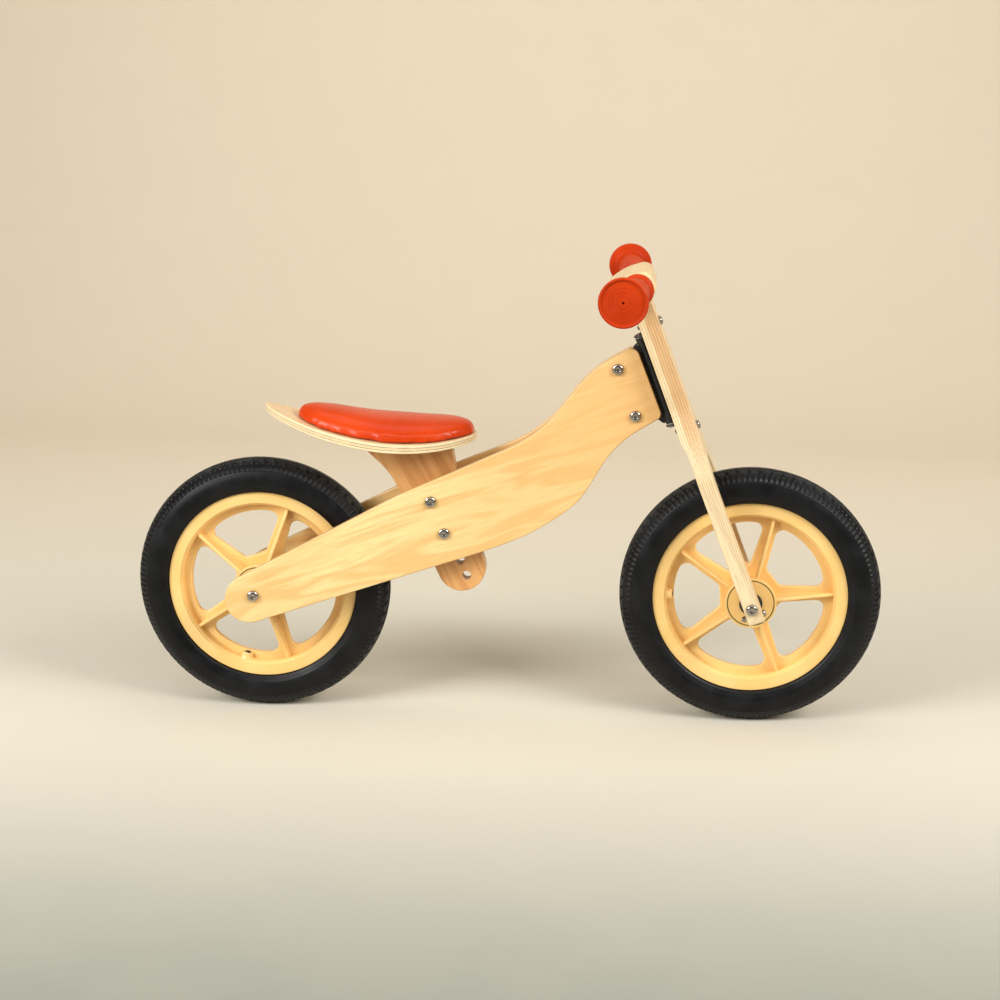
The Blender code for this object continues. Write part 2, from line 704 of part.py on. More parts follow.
def spoked_wheel(name, parent, spoke_angle, valve_angle):
    """The moulded wheel: a rim channel, a web with five ribbed spokes, the hub and a boss round the valve."""
    rim = mirrored([(RIM_RADIUS, -RIM_HALF_WIDTH), (RIM_RADIUS, -14.0), (98.5, -11.5)])
    rim += mirrored([(96.5, RIM_HALF_WIDTH), (94.3, 11.8)])
    wheel = finish(name, turned(rim, ROUND_LARGE, closed=True), WHEEL_PLASTIC, parent)
    openings = [window(index) for index in range(SPOKES)] + [circle((0, 0), 15.0, ROUND_MEDIUM)]
    web = slab(circle((0, 0), 95.6, ROUND_LARGE), openings, -WEB_HALF, WEB_HALF)
    hub = turned(hub_profile(), ROUND_MEDIUM, closed=True)
    joined = [
        finish(f"{name}_web", web, WHEEL_PLASTIC, parent),
        finish(f"{name}_hub", hub, WHEEL_PLASTIC, parent),
    ]
    rib = [(20.6, -29.3), (27.0, -28.7), (95.9, -10.8), (95.9, 10.8), (27.0, 28.7), (20.6, 29.3)]
    for index in range(SPOKES):
        bm = slab(rib, [], -RIB_HALF, RIB_HALF, axis="Z")
        turn = Matrix.Rotation(-2 * math.pi * index / SPOKES, 3, "Y")
        bmesh.ops.rotate(bm, verts=bm.verts, cent=(0, 0, 0), matrix=turn)
        joined.append(finish(f"{name}_rib_{index}", bm, WHEEL_PLASTIC, parent))
    for piece in joined:
        piece.rotation_euler = (0, -math.radians(spoke_angle), 0)
    top, root = valve_point(valve_angle, BOSS_TOP), valve_point(valve_angle, 95.4)
    joined.append(rod(f"{name}_boss", WHEEL_PLASTIC, parent, BOSS_RADIUS, top, root, 16))
    combine(wheel, "UNION", joined)
    cuts = []
    stem_hole = STEM_RADIUS + GAP + 0.1
    for cut, radius, reach in (("well", BOSS_WELL_RADIUS, VALVE_FOOT + 0.1), ("hole", stem_hole, 104.0)):
        foot, head = valve_point(valve_angle, BOSS_TOP - 3.0), valve_point(valve_angle, reach)
        cuts.append(rod(f"{name}_valve_{cut}", WHEEL_PLASTIC, parent, radius, foot, head, 12))
    combine(wheel, "DIFFERENCE", cuts)


def tyre(name, parent):
    """An air tyre: a shell that is open between its beads."""
    outside = [
        (99.2, 9.1),
        (99.2, 10.9),
        (RIM_RADIUS, 13.4),
        (112.5, 19.0),
        (125.0, TYRE_HALF_WIDTH),
        (138.0, 19.5),
        (146.2, 11.0),
        (TYRE_RADIUS, 6.0),
    ]
    hollow = [(114.0, -13.0), (128.0, -19.0), (142.5, -8.0)]
    profile = mirrored(outside) + mirrored(hollow)
    finish(name, turned(profile, ROUND_LARGE, closed=True), TYRE_RUBBER, parent)


def valve_point(angle, radius):
    """A place on the line of the valve, which stands beside the wheel's web."""
    across = polar(radius, math.radians(angle))
    return Vector((across.x, VALVE_OFFSET, across.y))


def inner_tube(name, parent, valve_angle):
    """The air tube with its valve stem."""
    section = circle((125.5, 0.0), 13.0, 8)
    tube = finish(name, turned(section, 32, closed=True), TUBE_RUBBER, parent)
    foot, head = valve_point(valve_angle, VALVE_FOOT), valve_point(valve_angle, 118.0)
    combine(tube, "UNION", [rod(f"{name}_stem", TUBE_RUBBER, parent, STEM_RADIUS, foot, head, 8)])


def valve_cap(name, parent, valve_angle):
    """The cap on the end of the valve stem."""
    end = VALVE_FOOT - GAP
    inner, outer = valve_point(valve_angle, end - CAP_LENGTH), valve_point(valve_angle, end)
    rod(name, BLACK_PLASTIC, parent, STEM_RADIUS + 0.4, inner, outer, 10)


def bearing(name, parent, side):
    """A sealed ball bearing as one ring."""
    ring = tube_between(AXLE_BORE, BEARING_RADIUS, HUB_HALF_WIDTH - BEARING_WIDTH, HUB_HALF_WIDTH - GAP)
    profile = [(radius, side * along) for radius, along in ring]
    finish(name, turned(profile, ROUND_MEDIUM, closed=True), ZINC, parent)


def build_wheel(prefix, parent, spoke_angle, valve_angle):
    """One complete wheel."""
    tyre(f"{prefix}_tyre", parent)
    inner_tube(f"{prefix}_inner_tube", parent, valve_angle)
    valve_cap(f"{prefix}_valve_cap", parent, valve_angle)
    spoked_wheel(f"{prefix}_wheel", parent, spoke_angle, valve_angle)
    bearing(f"{prefix}_bearing_right", parent, -1)
    bearing(f"{prefix}_bearing_left", parent, 1)
    reach = HUB_HALF_WIDTH - BEARING_WIDTH - GAP
    sleeve = turned(tube_between(AXLE_BORE, AXLE_BORE + 1.6, -reach, reach), ROUND_SMALL, closed=True)
    finish(f"{prefix}_bearing_sleeve", sleeve, ZINC, parent)


# ---------------------------------------------------------------- fork


def fork_board():
    """The laminated fork: one board, slotted for the wheel, narrow at the head, thinner along the blades."""
    shoulder_low, shoulder_high, neck = 158.0, 232.0, 33.0
    slot_centre = 128.0
    outline = [
        (-BLADE_OUTER, FORK_BOTTOM, 0.0),
        (-BLADE_INNER, FORK_BOTTOM, 0.0),
        (-BLADE_INNER, slot_centre, 0.0),
    ]
    for step in range(1, 8):
        angle = math.pi * (1 - step / 8)
        outline.append((BLADE_INNER * math.cos(angle), slot_centre + BLADE_INNER * math.sin(angle), 0.0))
    outline += [
        (BLADE_INNER, slot_centre, 0.0),
        (BLADE_INNER, FORK_BOTTOM, 0.0),
        (BLADE_OUTER, FORK_BOTTOM, 0.0),
        (BLADE_OUTER, shoulder_low, 30.0),
        (neck, shoulder_high, 40.0),
        (neck - 4.0, FORK_TOP, 3.0),
        (4.0 - neck, FORK_TOP, 3.0),
        (-neck, shoulder_high, 40.0),
        (-BLADE_OUTER, shoulder_low, 30.0),
    ]
    holes = [circle((0.0, height), FORK_BOLT_RADIUS + GAP) for height in FORK_BOLT_HEIGHTS.values()]
    for side in (-1, 1):
        holes.append(circle((side * BLADE_BOLT_SIDE, BLADE_BOLT_HEIGHT), BLADE_BOLT_RADIUS + GAP))
    bm = slab(rounded(outline), holes, FORK_REAR_UPPER, FORK_FRONT, axis="X")
    for height in FORK_STEP_HEIGHTS:
        parts = bm.verts[:] + bm.edges[:] + bm.faces[:]
        bmesh.ops.bisect_plane(bm, geom=parts, plane_co=(0, 0, height), plane_no=(0, 0, 1))
    for point in bm.verts:
        if point.co.x < FORK_REAR_LOWER and point.co.z < FORK_STEP_HEIGHTS[0] + 0.01:
            point.co.x = FORK_REAR_LOWER
    bmesh.ops.triangulate(bm, faces=bm.faces)
    fork = finish("fork", bm, PLY_EDGE, STEERING)
    recess_floor = LEAF_REAR + LEAF_THICKNESS + GAP
    side = LEAF_HALF_WIDTH + GAP
    bore = AXLE_RADIUS + 2 * GAP + NUT_SLEEVE_WALL + 0.2  # takes the axle nut's sleeve
    cutters = [
        rod("fork_axle_bore", PLY_EDGE, STEERING, bore, (AXIS_TO_AXLE, 90, 0), (AXIS_TO_AXLE, -90, 0)),
        block("fork_recess", (-10.0, -side, LEAF_BOTTOM - GAP), (recess_floor, side, LEAF_TOP + GAP)),
    ]
    for side in (-1, 1):
        foot = (DOWEL_FORWARD, side * DOWEL_SIDE, FORK_TOP - DOWEL_REACH - GAP)
        tip = (DOWEL_FORWARD, side * DOWEL_SIDE, FORK_TOP + 10)
        cutters.append(rod(f"fork_dowel_hole_{side}", PLY_EDGE, STEERING, DOWEL_RADIUS + GAP, foot, tip))
    combine(fork, "DIFFERENCE", cutters)


def steering_bracket():
    """The plated bracket in the fork's rear face, with an ear above and below the steering tube."""
    outline = [
        (-LEAF_HALF_WIDTH, LEAF_BOTTOM, 4.0),
        (LEAF_HALF_WIDTH, LEAF_BOTTOM, 4.0),
        (LEAF_HALF_WIDTH, LEAF_TOP, 4.0),
        (-LEAF_HALF_WIDTH, LEAF_TOP, 4.0),
    ]
    holes = [circle((0.0, height), FORK_BOLT_RADIUS + GAP) for height in FORK_BOLT_HEIGHTS.values()]
    leaf = slab(rounded(outline), holes, LEAF_REAR, LEAF_REAR + LEAF_THICKNESS, axis="X")
    bracket = finish("steering_bracket", leaf, ZINC, STEERING)
    ear = [
        (-7.0, -7.0, 6.9),
        (LEAF_REAR + 1.0, -7.0, 0.0),
        (LEAF_REAR + 1.0, 7.0, 0.0),
        (-7.0, 7.0, 6.9),
    ]
    ears = []
    undersides = {"upper": TUBE_TOP + EAR_CLEARANCE, "lower": TUBE_BOTTOM - EAR_CLEARANCE - EAR_THICKNESS}
    for name, low in undersides.items():
        plate = slab(rounded(ear), [circle((0, 0), PIN_RADIUS + GAP)], low, low + EAR_THICKNESS, axis="Z")
        ears.append(finish(f"steering_ear_{name}", plate, ZINC, STEERING))
    combine(bracket, "UNION", ears)


def steering_pin():
    """The hinge pin: a domed head on the upper ear and a riveted end under the lower ear."""
    top = TUBE_TOP + EAR_CLEARANCE + EAR_THICKNESS + GAP
    bottom = TUBE_BOTTOM - EAR_CLEARANCE - EAR_THICKNESS - GAP
    profile = [
        (0.0, top + 1.5),
        (3.0, top + 1.3),
        (5.0, top + 0.5),
        (5.0, top),
        (PIN_RADIUS, top),
        (PIN_RADIUS, bottom),
        (4.8, bottom),
        (4.4, bottom - 1.4),
        (0.0, bottom - 1.6),
    ]
    finish("steering_pin", stand_up(turned(profile, 16)), CHROME, STEERING)


def through_bolt(name, side, height, shank, head_radius, seat, nut_face):
    """A bolt from the fork's front to its rear face, and the nut on it."""
    nut_length = 4.6
    tip = nut_face - nut_length - 1.6 - seat
    head = [
        (0.0, 1.4),
        (shank * 0.7, 1.4),
        (shank * 0.7, 3.2),
        (head_radius * 0.7, 3.0),
        (head_radius, 1.0),
        (head_radius, 0.0),
        (shank, 0.0),
        (shank, tip),
        (0.0, tip),
    ]
    onto_x = Matrix.Rotation(-math.pi / 2, 3, "Z")
    bm = turned(head, ROUND_SMALL)
    bmesh.ops.rotate(bm, verts=bm.verts, cent=(0, 0, 0), matrix=onto_x)
    bmesh.ops.translate(bm, vec=(seat, side, height), verts=bm.verts)
    finish(f"{name}_bolt", bm, CHROME, STEERING)
    flats = circle((side, height), head_radius * 0.88, 6)
    nut = slab(flats, [circle((side, height), shank + GAP)], nut_face - nut_length, nut_face, axis="X")
    finish(f"{name}_nut", nut, CHROME, STEERING)


def bar_frame(side):
    """The start, the direction and the length of the round bar on one side."""
    start = Vector((BAR_INNER.x, side * BAR_INNER.y, BAR_INNER.z))
    end = Vector((BAR_OUTER.x, side * BAR_OUTER.y, BAR_OUTER.z))
    return start, (end - start).normalized(), (end - start).length


def handlebar():
    """A crowned wooden block on the fork's top that runs out into a round bar on each side."""
    section = [
        (-14.0, FORK_TOP + GAP, 7.0),
        (37.5, FORK_TOP + GAP, 7.0),
        (37.4, 393.2, 11.0),
        (8.0, 396.0, 60.0),
        (-16.0, 388.5, 5.0),
    ]
    bm = slab(rounded(section), [], -BAR_BLOCK_HALF, BAR_BLOCK_HALF)
    bar = finish("handlebar", bm, BIRCH, STEERING)
    arms = []
    for side, name in ((-1, "right"), (1, "left")):
        start, direction, length = bar_frame(side)
        inner_end, outer_end = start - direction * 12, start + direction * (length - 7)
        arms.append(rod(f"bar_arm_{name}", BIRCH, STEERING, BAR_RADIUS, inner_end, outer_end, ROUND_MEDIUM))
    combine(bar, "UNION", arms)
    holes = []
    for side in (-1, 1):
        foot = (DOWEL_FORWARD, side * DOWEL_SIDE, FORK_TOP - 5)
        tip = (DOWEL_FORWARD, side * DOWEL_SIDE, FORK_TOP + DOWEL_REACH + GAP)
        holes.append(rod(f"bar_dowel_hole_{side}", BIRCH, STEERING, DOWEL_RADIUS + GAP, foot, tip))
    combine(bar, "DIFFERENCE", holes)
    for side, name in ((-1, "right"), (1, "left")):
        foot = (DOWEL_FORWARD, side * DOWEL_SIDE, FORK_TOP - DOWEL_REACH)
        tip = (DOWEL_FORWARD, side * DOWEL_SIDE, FORK_TOP + DOWEL_REACH)
        rod(f"handlebar_dowel_{name}", BIRCH, STEERING, DOWEL_RADIUS - 0.1, foot, tip)


def grip(name, side):
    """A rubber grip: a collar at the block, a round body, and a large safety disc with a small vent hole."""
    start, direction, length = bar_frame(side)
    bore = BAR_RADIUS + GAP
    profile = [
        (bore, 0.3),
        (GRIP_COLLAR_RADIUS - 1.2, 0.3),
        (GRIP_COLLAR_RADIUS, 1.8),
        (GRIP_COLLAR_RADIUS, 7.0),
        (GRIP_BODY_RADIUS, 10.5),
        (GRIP_BODY_RADIUS + 0.8, 70.0),
        (GRIP_BODY_RADIUS, length - 13.0),
        (GRIP_BODY_RADIUS + 3.2, length - 8.6),
        (GRIP_DISC_RADIUS - 2.0, length - 7.4),
        (GRIP_DISC_RADIUS, length - 5.4),
        (GRIP_DISC_RADIUS, length - 2.2),
        (GRIP_DISC_RADIUS - 1.6, length - 0.4),
        (GRIP_DISC_RADIUS - 3.4, length - 1.8),
        (8.0, length - 1.0),
        (1.3, length - 1.0),
        (1.3, length - 5.5),
        (bore, length - 5.5),
    ]
    bm = turned(profile, ROUND_MEDIUM, closed=True)
    turn = Vector((0, 1, 0)).rotation_difference(direction).to_matrix().to_4x4()
    bmesh.ops.transform(bm, matrix=Matrix.Translation(start) @ turn, verts=bm.verts)
    finish(name, bm, GRIP_RUBBER, STEERING)


def build_fork():
    """Everything that turns with the bars, apart from the front wheel."""
    fork_board()
    steering_bracket()
    steering_pin()
    for place, height in FORK_BOLT_HEIGHTS.items():
        through_bolt(f"fork_{place}", 0.0, height, FORK_BOLT_RADIUS, 5.2, FORK_FRONT + GAP, LEAF_REAR - GAP)
    for side, name in ((-1, "right"), (1, "left")):
        through_bolt(
            f"blade_{name}",
            side * BLADE_BOLT_SIDE,
            BLADE_BOLT_HEIGHT,
            BLADE_BOLT_RADIUS,
            4.2,
            FORK_FRONT + GAP,
            FORK_REAR_LOWER - GAP,
        )
    handlebar()
    grip("grip_right", -1)
    grip("grip_left", 1)
    reach = BLADE_OUTER + GAP
    cross_bolt("front_axle", (AXIS_TO_AXLE, 0.0), reach, reach, AXLE_RADIUS, STEERING, lean=False)
    start, end = HUB_HALF_WIDTH + 2 * GAP, BLADE_INNER - GAP
    profile = [
        (AXLE_BORE, start),
        (AXLE_BOSS_RADIUS, start),
        (AXLE_SPACER_RADIUS, start + 1.2),
        (AXLE_SPACER_RADIUS, end),
        (AXLE_BORE, end),
    ]
    axle_spacer("front_spacer_right", FRONT_HUB, False, -1, profile)
    axle_spacer("front_spacer_left", FRONT_HUB, False, 1, profile)


build_frame()
build_wheel("rear", REAR_HUB, REAR_SPOKE_ANGLE, REAR_VALVE_ANGLE)
build_fork()
build_wheel("front", FRONT_HUB, FRONT_SPOKE_ANGLE, FRONT_VALVE_ANGLE)
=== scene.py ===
"""Looks of the wooden balance bike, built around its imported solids.

Sizes are in millimetres and become metres when a mesh is made.  +X is forward, +Y the rider's left, +Z up.
"""

import math

import bmesh
import bpy
from mathutils import Matrix, Vector


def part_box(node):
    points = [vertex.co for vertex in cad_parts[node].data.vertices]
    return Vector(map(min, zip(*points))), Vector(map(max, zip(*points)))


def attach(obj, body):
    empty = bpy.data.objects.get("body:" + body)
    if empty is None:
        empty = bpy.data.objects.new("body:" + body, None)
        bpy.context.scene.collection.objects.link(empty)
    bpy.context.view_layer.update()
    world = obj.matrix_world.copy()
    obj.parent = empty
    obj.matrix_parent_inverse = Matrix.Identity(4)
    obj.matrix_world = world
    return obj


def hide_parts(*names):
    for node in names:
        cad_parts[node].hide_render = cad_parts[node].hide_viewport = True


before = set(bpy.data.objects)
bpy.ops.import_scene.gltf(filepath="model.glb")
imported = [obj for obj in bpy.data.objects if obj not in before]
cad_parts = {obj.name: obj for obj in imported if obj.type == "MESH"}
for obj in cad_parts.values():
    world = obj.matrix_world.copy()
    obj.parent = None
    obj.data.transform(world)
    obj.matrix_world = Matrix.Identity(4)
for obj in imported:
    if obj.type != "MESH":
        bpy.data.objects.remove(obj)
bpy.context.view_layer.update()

MM = 0.001
GAP = 0.3  # clearance between pieces that fit together

# ---------------------------------------------------------------- places, read from the frame


def centre_of(node):
    """Middle of a node's box, in millimetres."""
    low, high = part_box(node)
    return (low + high) / 2 / MM


def datum(origin, tilt=0.0):
    """A frame of reference in millimetres, as a matrix that gives metres."""
    return Matrix.Scale(MM, 4) @ Matrix.Translation(origin) @ Matrix.Rotation(tilt, 4, "Y")


FORK_TILT = math.radians(21.0)
AXIS_TO_AXLE = 16.25
FORK_ACROSS = Vector((math.cos(FORK_TILT), 0.0, math.sin(FORK_TILT)))
FORK_UP = (-math.sin(FORK_TILT), 0.0, math.cos(FORK_TILT))
REAR_AXLE = centre_of("rear_tyre")
FRONT_AXLE = centre_of("front_tyre")
HEAD = datum(FRONT_AXLE - AXIS_TO_AXLE * FORK_ACROSS, -FORK_TILT)
AXLE_HEIGHT = REAR_AXLE.z

# A body and the datum that its sizes are given in.
FRAME = ("main_frame", datum((REAR_AXLE.x, 0.0, 0.0)))
HEAD_TUBE = ("main_frame", HEAD)
FORK = ("fork_assembly", HEAD)
FORK_AXLE = ("fork_assembly", datum(FRONT_AXLE))
REAR_WHEEL = ("rear_wheel_assembly", datum(REAR_AXLE))
FRONT_WHEEL = ("front_wheel_assembly", datum(FRONT_AXLE))
SIDES = (("right", -1), ("left", 1))

# ---------------------------------------------------------------- materials


class Finish:
    """One procedural material.  Each call adds a node and returns the socket that the next one reads."""

    def __init__(self, name, **sockets):
        self.material = bpy.data.materials.new(name)
        self.material.use_nodes = True
        self.tree = self.material.node_tree
        self.shader = self.tree.nodes["Principled BSDF"]
        for socket, value in sockets.items():
            self.shader.inputs[socket.replace("_", " ")].default_value = value
        coordinates = self.tree.nodes.new("ShaderNodeTexCoord")
        self.place = coordinates.outputs["Object"]
        self.facing = coordinates.outputs["Normal"]

    def node(self, kind, inputs, output=0, **settings):
        made = self.tree.nodes.new("ShaderNode" + kind)
        for key, value in settings.items():
            setattr(made, key, value)
        for key, value in inputs.items():
            if isinstance(value, bpy.types.NodeSocket):
                self.tree.links.new(value, made.inputs[key])
            else:
                made.inputs[key].default_value = value
        return made.outputs[output]

    def stretched(self, size, turn=(0.0, 0.0, 0.0), start=(0.0, 0.0, 0.0)):
        """Coordinates in which a feature of that size, in metres along the turned axes, is one unit."""
        inputs = {"Vector": self.place, "Location": start, "Rotation": turn, "Scale": size}
        return self.node("Mapping", inputs, vector_type="TEXTURE")

    def noise(self, vector, scale=1.0, detail=3.0, roughness=0.5, distortion=0.0):
        inputs = {"Vector": vector, "Scale": scale, "Detail": detail}
        inputs.update({"Roughness": roughness, "Distortion": distortion})
        return self.node("TexNoise", inputs)

    def span(self, value, low, high, to_low=0.0, to_high=1.0):
        inputs = {"Value": value, "From Min": low, "From Max": high, "To Min": to_low, "To Max": to_high}
        return self.node("MapRange", inputs, interpolation_type="SMOOTHSTEP")

    def mix(self, factor, first, second, blend="MIX"):
        inputs = {0: factor, 6: colour_of(first), 7: colour_of(second)}
        return self.node("Mix", inputs, output=2, data_type="RGBA", blend_type=blend)

    def maths(self, operation, first, second=0.0):
        return self.node("Math", {0: first, 1: second}, operation=operation)

    def along(self, vector, direction):
        """Distance along a direction."""
        return self.node("VectorMath", {0: vector, 1: direction}, output=1, operation="DOT_PRODUCT")

    def attribute(self, name):
        return self.node("Attribute", {}, output=2, attribute_name=name)

    def bump(self, height, distance, strength=1.0, under=None):
        inputs = {"Height": height, "Distance": distance, "Strength": strength}
        if under:
            inputs["Normal"] = under
        return self.node("Bump", inputs)

    def wire(self, **sockets):
        """Joins sockets to the shader and gives back the material."""
        for name, socket in sockets.items():
            self.tree.links.new(socket, self.shader.inputs[name.replace("_", " ")])
        return self.material


def colour_of(value):
    """Three numbers become a colour; a socket stays as it is."""
    return (*value, 1.0) if isinstance(value, tuple) and len(value) == 3 else value


def veneer(finish, turn, light, dark, figure=0.6):
    """Colour and relief of a flat-sawn face: slow flames, fine streaks and short dark pores."""
    flame = finish.noise(finish.stretched((0.34, 0.05, 0.03), turn), detail=2.5, distortion=0.9)
    bands = finish.maths("PINGPONG", finish.maths("MULTIPLY", flame, 9.0), 1.0)
    streak = finish.noise(finish.stretched((0.09, 0.003, 0.0022), turn), detail=5.0, roughness=0.62)
    pore = finish.noise(finish.stretched((0.0045, 0.0004, 0.0004), turn), detail=2.0)
    broad = finish.noise(finish.stretched((0.5, 0.16, 0.12), turn, (0.31, 0.2, 0.17)), detail=2.0)
    colour = finish.mix(finish.span(bands, 0.0, 1.0, 0.0, figure), light, dark)
    colour = finish.mix(finish.span(broad, 0.35, 0.7, 0.0, 0.5), colour, dark)
    colour = finish.mix(finish.span(streak, 0.35, 0.75, 0.0, 0.32), colour, tuple(0.74 * c for c in dark))
    colour = finish.mix(finish.span(pore, 0.63, 0.78, 0.0, 0.3), colour, tuple(0.45 * c for c in dark))
    relief = finish.maths("SUBTRACT", finish.maths("MULTIPLY", streak, 0.4), finish.span(pore, 0.6, 0.8))
    return colour, relief, streak


def layers(finish, turn, pitch, light, dark, glue, line=0.07):
    """Colour of a plywood edge: long-grain and cross-grain plies in turn, with thin glue lines between."""
    through = finish.attribute("ply")
    wander = finish.noise(finish.stretched((0.05, 0.05, 0.05)), detail=2.0)
    shift = finish.span(wander, 0.2, 0.8, -0.12, 0.12)
    level = finish.maths("DIVIDE", finish.maths("ADD", through, shift), pitch)
    share = finish.maths("FRACT", level)
    parity = finish.maths("PINGPONG", finish.maths("FLOOR", level), 1.0)
    streak = finish.noise(finish.stretched((0.03, 0.0009, 0.0009), turn), detail=4.0, roughness=0.6)
    speck = finish.noise(finish.stretched((0.006, 0.0006, 0.0006), turn, (0.7, 0.1, 0.4)), detail=2.0)
    colour = finish.mix(finish.maths("MULTIPLY", parity, 0.75), light, dark)
    colour = finish.mix(finish.span(streak, 0.3, 0.75, 0.0, 0.5), colour, tuple(0.7 * c for c in dark))
    colour = finish.mix(finish.span(speck, 0.68, 0.78, 0.0, 0.65), colour, glue)
    seam = finish.span(finish.maths("ABSOLUTE", finish.maths("SUBTRACT", share, 0.5)), 0.5 - line, 0.5)
    broken = finish.span(finish.noise(finish.stretched((0.02, 0.02, 0.02)), detail=3.0), 0.3, 0.6, 0.35, 1.0)
    return finish.mix(finish.maths("MULTIPLY", seam, broken), colour, glue)


def plywood(name, across, turn, face, edge, pitch, figure=0.6, face_shade=None, edge_shade=None, line=0.07):
    """Lacquered plywood.  Across is the direction through the plies.

    The face option is (colour, start, end, direction): painted shade that turns the faces darker and more
    orange along the direction.
    The edge option is (colour, from ply, to ply, bottom, top, up): painted shade that darkens the deeper
    plies of the edges above a height.
    """
    finish = Finish(name, Coat_Weight=0.25, Coat_Roughness=0.25, IOR=1.5)
    colour, relief, streak = veneer(finish, turn, *face, figure)
    # Painted shade: the faces grow darker and more orange along the direction.
    if face_shade:
        shade, start, end, direction = face_shade
        amount = finish.span(finish.along(finish.place, direction), start, end, 0.0, 0.55)
        colour = finish.mix(amount, colour, shade)
    upright = finish.maths("ABSOLUTE", finish.along(finish.facing, across))
    edge_share = finish.span(upright, 0.62, 0.84, 1.0, 0.0)
    side = layers(finish, turn, pitch, *edge, line)
    # Painted shade on the edges: the plies beyond a depth turn darker above a height.
    if edge_shade:
        shade, start, end, bottom, top, direction = edge_shade
        high = finish.span(finish.along(finish.place, direction), bottom, top)
        deep = finish.span(finish.attribute("ply"), start, end, 0.0, 0.8)
        side = finish.mix(finish.maths("MULTIPLY", high, deep), side, shade, "MULTIPLY")
    colour = finish.mix(edge_share, colour, side)
    wear = finish.noise(finish.place, scale=60.0, detail=4.0)
    rough = finish.span(wear, 0.3, 0.7, 0.36, 0.5)
    normal = finish.bump(relief, 0.00012, 0.5)
    return finish.wire(Base_Color=colour, Roughness=rough, Normal=normal)


def moulded(name, colour, shade, roughness, bump, scale, **sockets):
    """Moulded plastic or rubber: faint mottling, a fine skin, and rougher patches where it is handled."""
    finish = Finish(name, **sockets)
    mottle = finish.noise(finish.place, scale=28.0, detail=4.0)
    skin = finish.noise(finish.place, scale=scale, detail=3.0)
    rub = finish.noise(finish.place, scale=95.0, detail=5.0, roughness=0.65)
    tone = finish.mix(finish.span(mottle, 0.3, 0.72), colour, shade)
    rough = finish.span(rub, 0.3, 0.75, roughness - 0.06, roughness + 0.1)
    return finish.wire(Base_Color=tone, Roughness=rough, Normal=finish.bump(skin, bump, 0.6))


def metal(name, colour, shade, roughness, brushed=0.0, metallic=1.0):
    """Plated or painted steel with fine scratches and a little dulling."""
    finish = Finish(name, Metallic=metallic, IOR=1.6)
    cloud = finish.noise(finish.place, scale=180.0, detail=3.0)
    scratch = finish.noise(finish.stretched((0.012, 0.0005, 0.0005), (0.3, 0.5, 0.2)), detail=4.0)
    tone = finish.mix(finish.span(cloud, 0.35, 0.7, 0.0, 0.6), colour, shade)
    rough = finish.span(scratch, 0.35, 0.75, roughness, roughness + 0.14 + brushed)
    return finish.wire(Base_Color=tone, Roughness=rough, Normal=finish.bump(scratch, 0.00002, 0.35))


GRAIN_RISE = math.radians(-19.0)
BIRCH_EDGE = ((0.83, 0.60, 0.29), (0.66, 0.40, 0.16), (0.26, 0.13, 0.05))
PALE_FACE = ((0.95, 0.76, 0.37), (0.80, 0.50, 0.185))
PANEL = plywood(
    "panel_birch",
    (0, 1, 0),
    (0.0, GRAIN_RISE, 0.0),
    PALE_FACE,
    BIRCH_EDGE,
    pitch=1.5,
    figure=0.9,
    # Painted shade: the faces turn darker and more orange towards the head.
    face_shade=((0.84, 0.45, 0.16), -0.16, 0.12, (1, 0, 0)),
)
FORK_PLY = plywood(
    "fork_ply",
    tuple(FORK_ACROSS),
    (0.0, math.radians(90) - FORK_TILT, 0.0),
    ((0.88, 0.68, 0.38), (0.76, 0.50, 0.24)),
    ((0.90, 0.74, 0.46), (0.72, 0.50, 0.27), (0.26, 0.15, 0.08)),
    pitch=1.55,
    # Painted shade: the front plies of the fork's edges turn darker towards the top.
    edge_shade=((0.80, 0.60, 0.42), 7.0, 9.0, 0.19, 0.27, FORK_UP),
    line=0.05,
)
SEAT_PLY = plywood(
    "seat_ply",
    (0, 0, 1),
    (0.0, 0.0, 0.0),
    ((0.88, 0.67, 0.38), (0.76, 0.50, 0.24)),
    ((0.94, 0.79, 0.50), (0.86, 0.64, 0.35), (0.10, 0.05, 0.02)),
    pitch=3.47,
    line=0.15,
)
POST_PLY = plywood(
    "post_ply",
    (0, 1, 0),
    (0.0, math.radians(62), 0.0),
    ((0.82, 0.45, 0.17), (0.62, 0.28, 0.085)),
    ((0.74, 0.43, 0.19), (0.52, 0.27, 0.10), (0.15, 0.07, 0.03)),
    pitch=1.5,
    figure=0.8,
)


def solid_wood(name, turn, light, dark):
    """Lacquered solid wood."""
    finish = Finish(name, Coat_Weight=0.2, Coat_Roughness=0.3, IOR=1.5)
    colour, relief, streak = veneer(finish, turn, light, dark, 0.5)
    rough = finish.span(streak, 0.3, 0.75, 0.38, 0.5)
    return finish.wire(Base_Color=colour, Roughness=rough, Normal=finish.bump(relief, 0.0001, 0.5))


BAR_WOOD = solid_wood("handlebar_wood", (0.0, 0.0, math.radians(90)), (0.90, 0.70, 0.40), (0.78, 0.52, 0.24))
TURNED_WOOD = solid_wood("turned_wood", (0.0, 0.0, math.radians(90)), (0.78, 0.55, 0.28), (0.62, 0.38, 0.16))
TUBE_RUBBER = moulded("tube_rubber", (0.03, 0.03, 0.03), (0.05, 0.048, 0.045), 0.6, 0.00003, 900.0)
GRIP_RUBBER = moulded(
    "grip_rubber", (0.56, 0.044, 0.002), (0.46, 0.032, 0.002), 0.42, 0.00005, 700.0, Specular_IOR_Level=0.15
)
BLACK_PLASTIC = moulded("black_plastic", (0.018, 0.018, 0.018), (0.03, 0.03, 0.03), 0.45, 0.00003, 1200.0)
NYLON = moulded("nylon", (0.80, 0.79, 0.73), (0.72, 0.70, 0.62), 0.45, 0.00002, 1200.0)
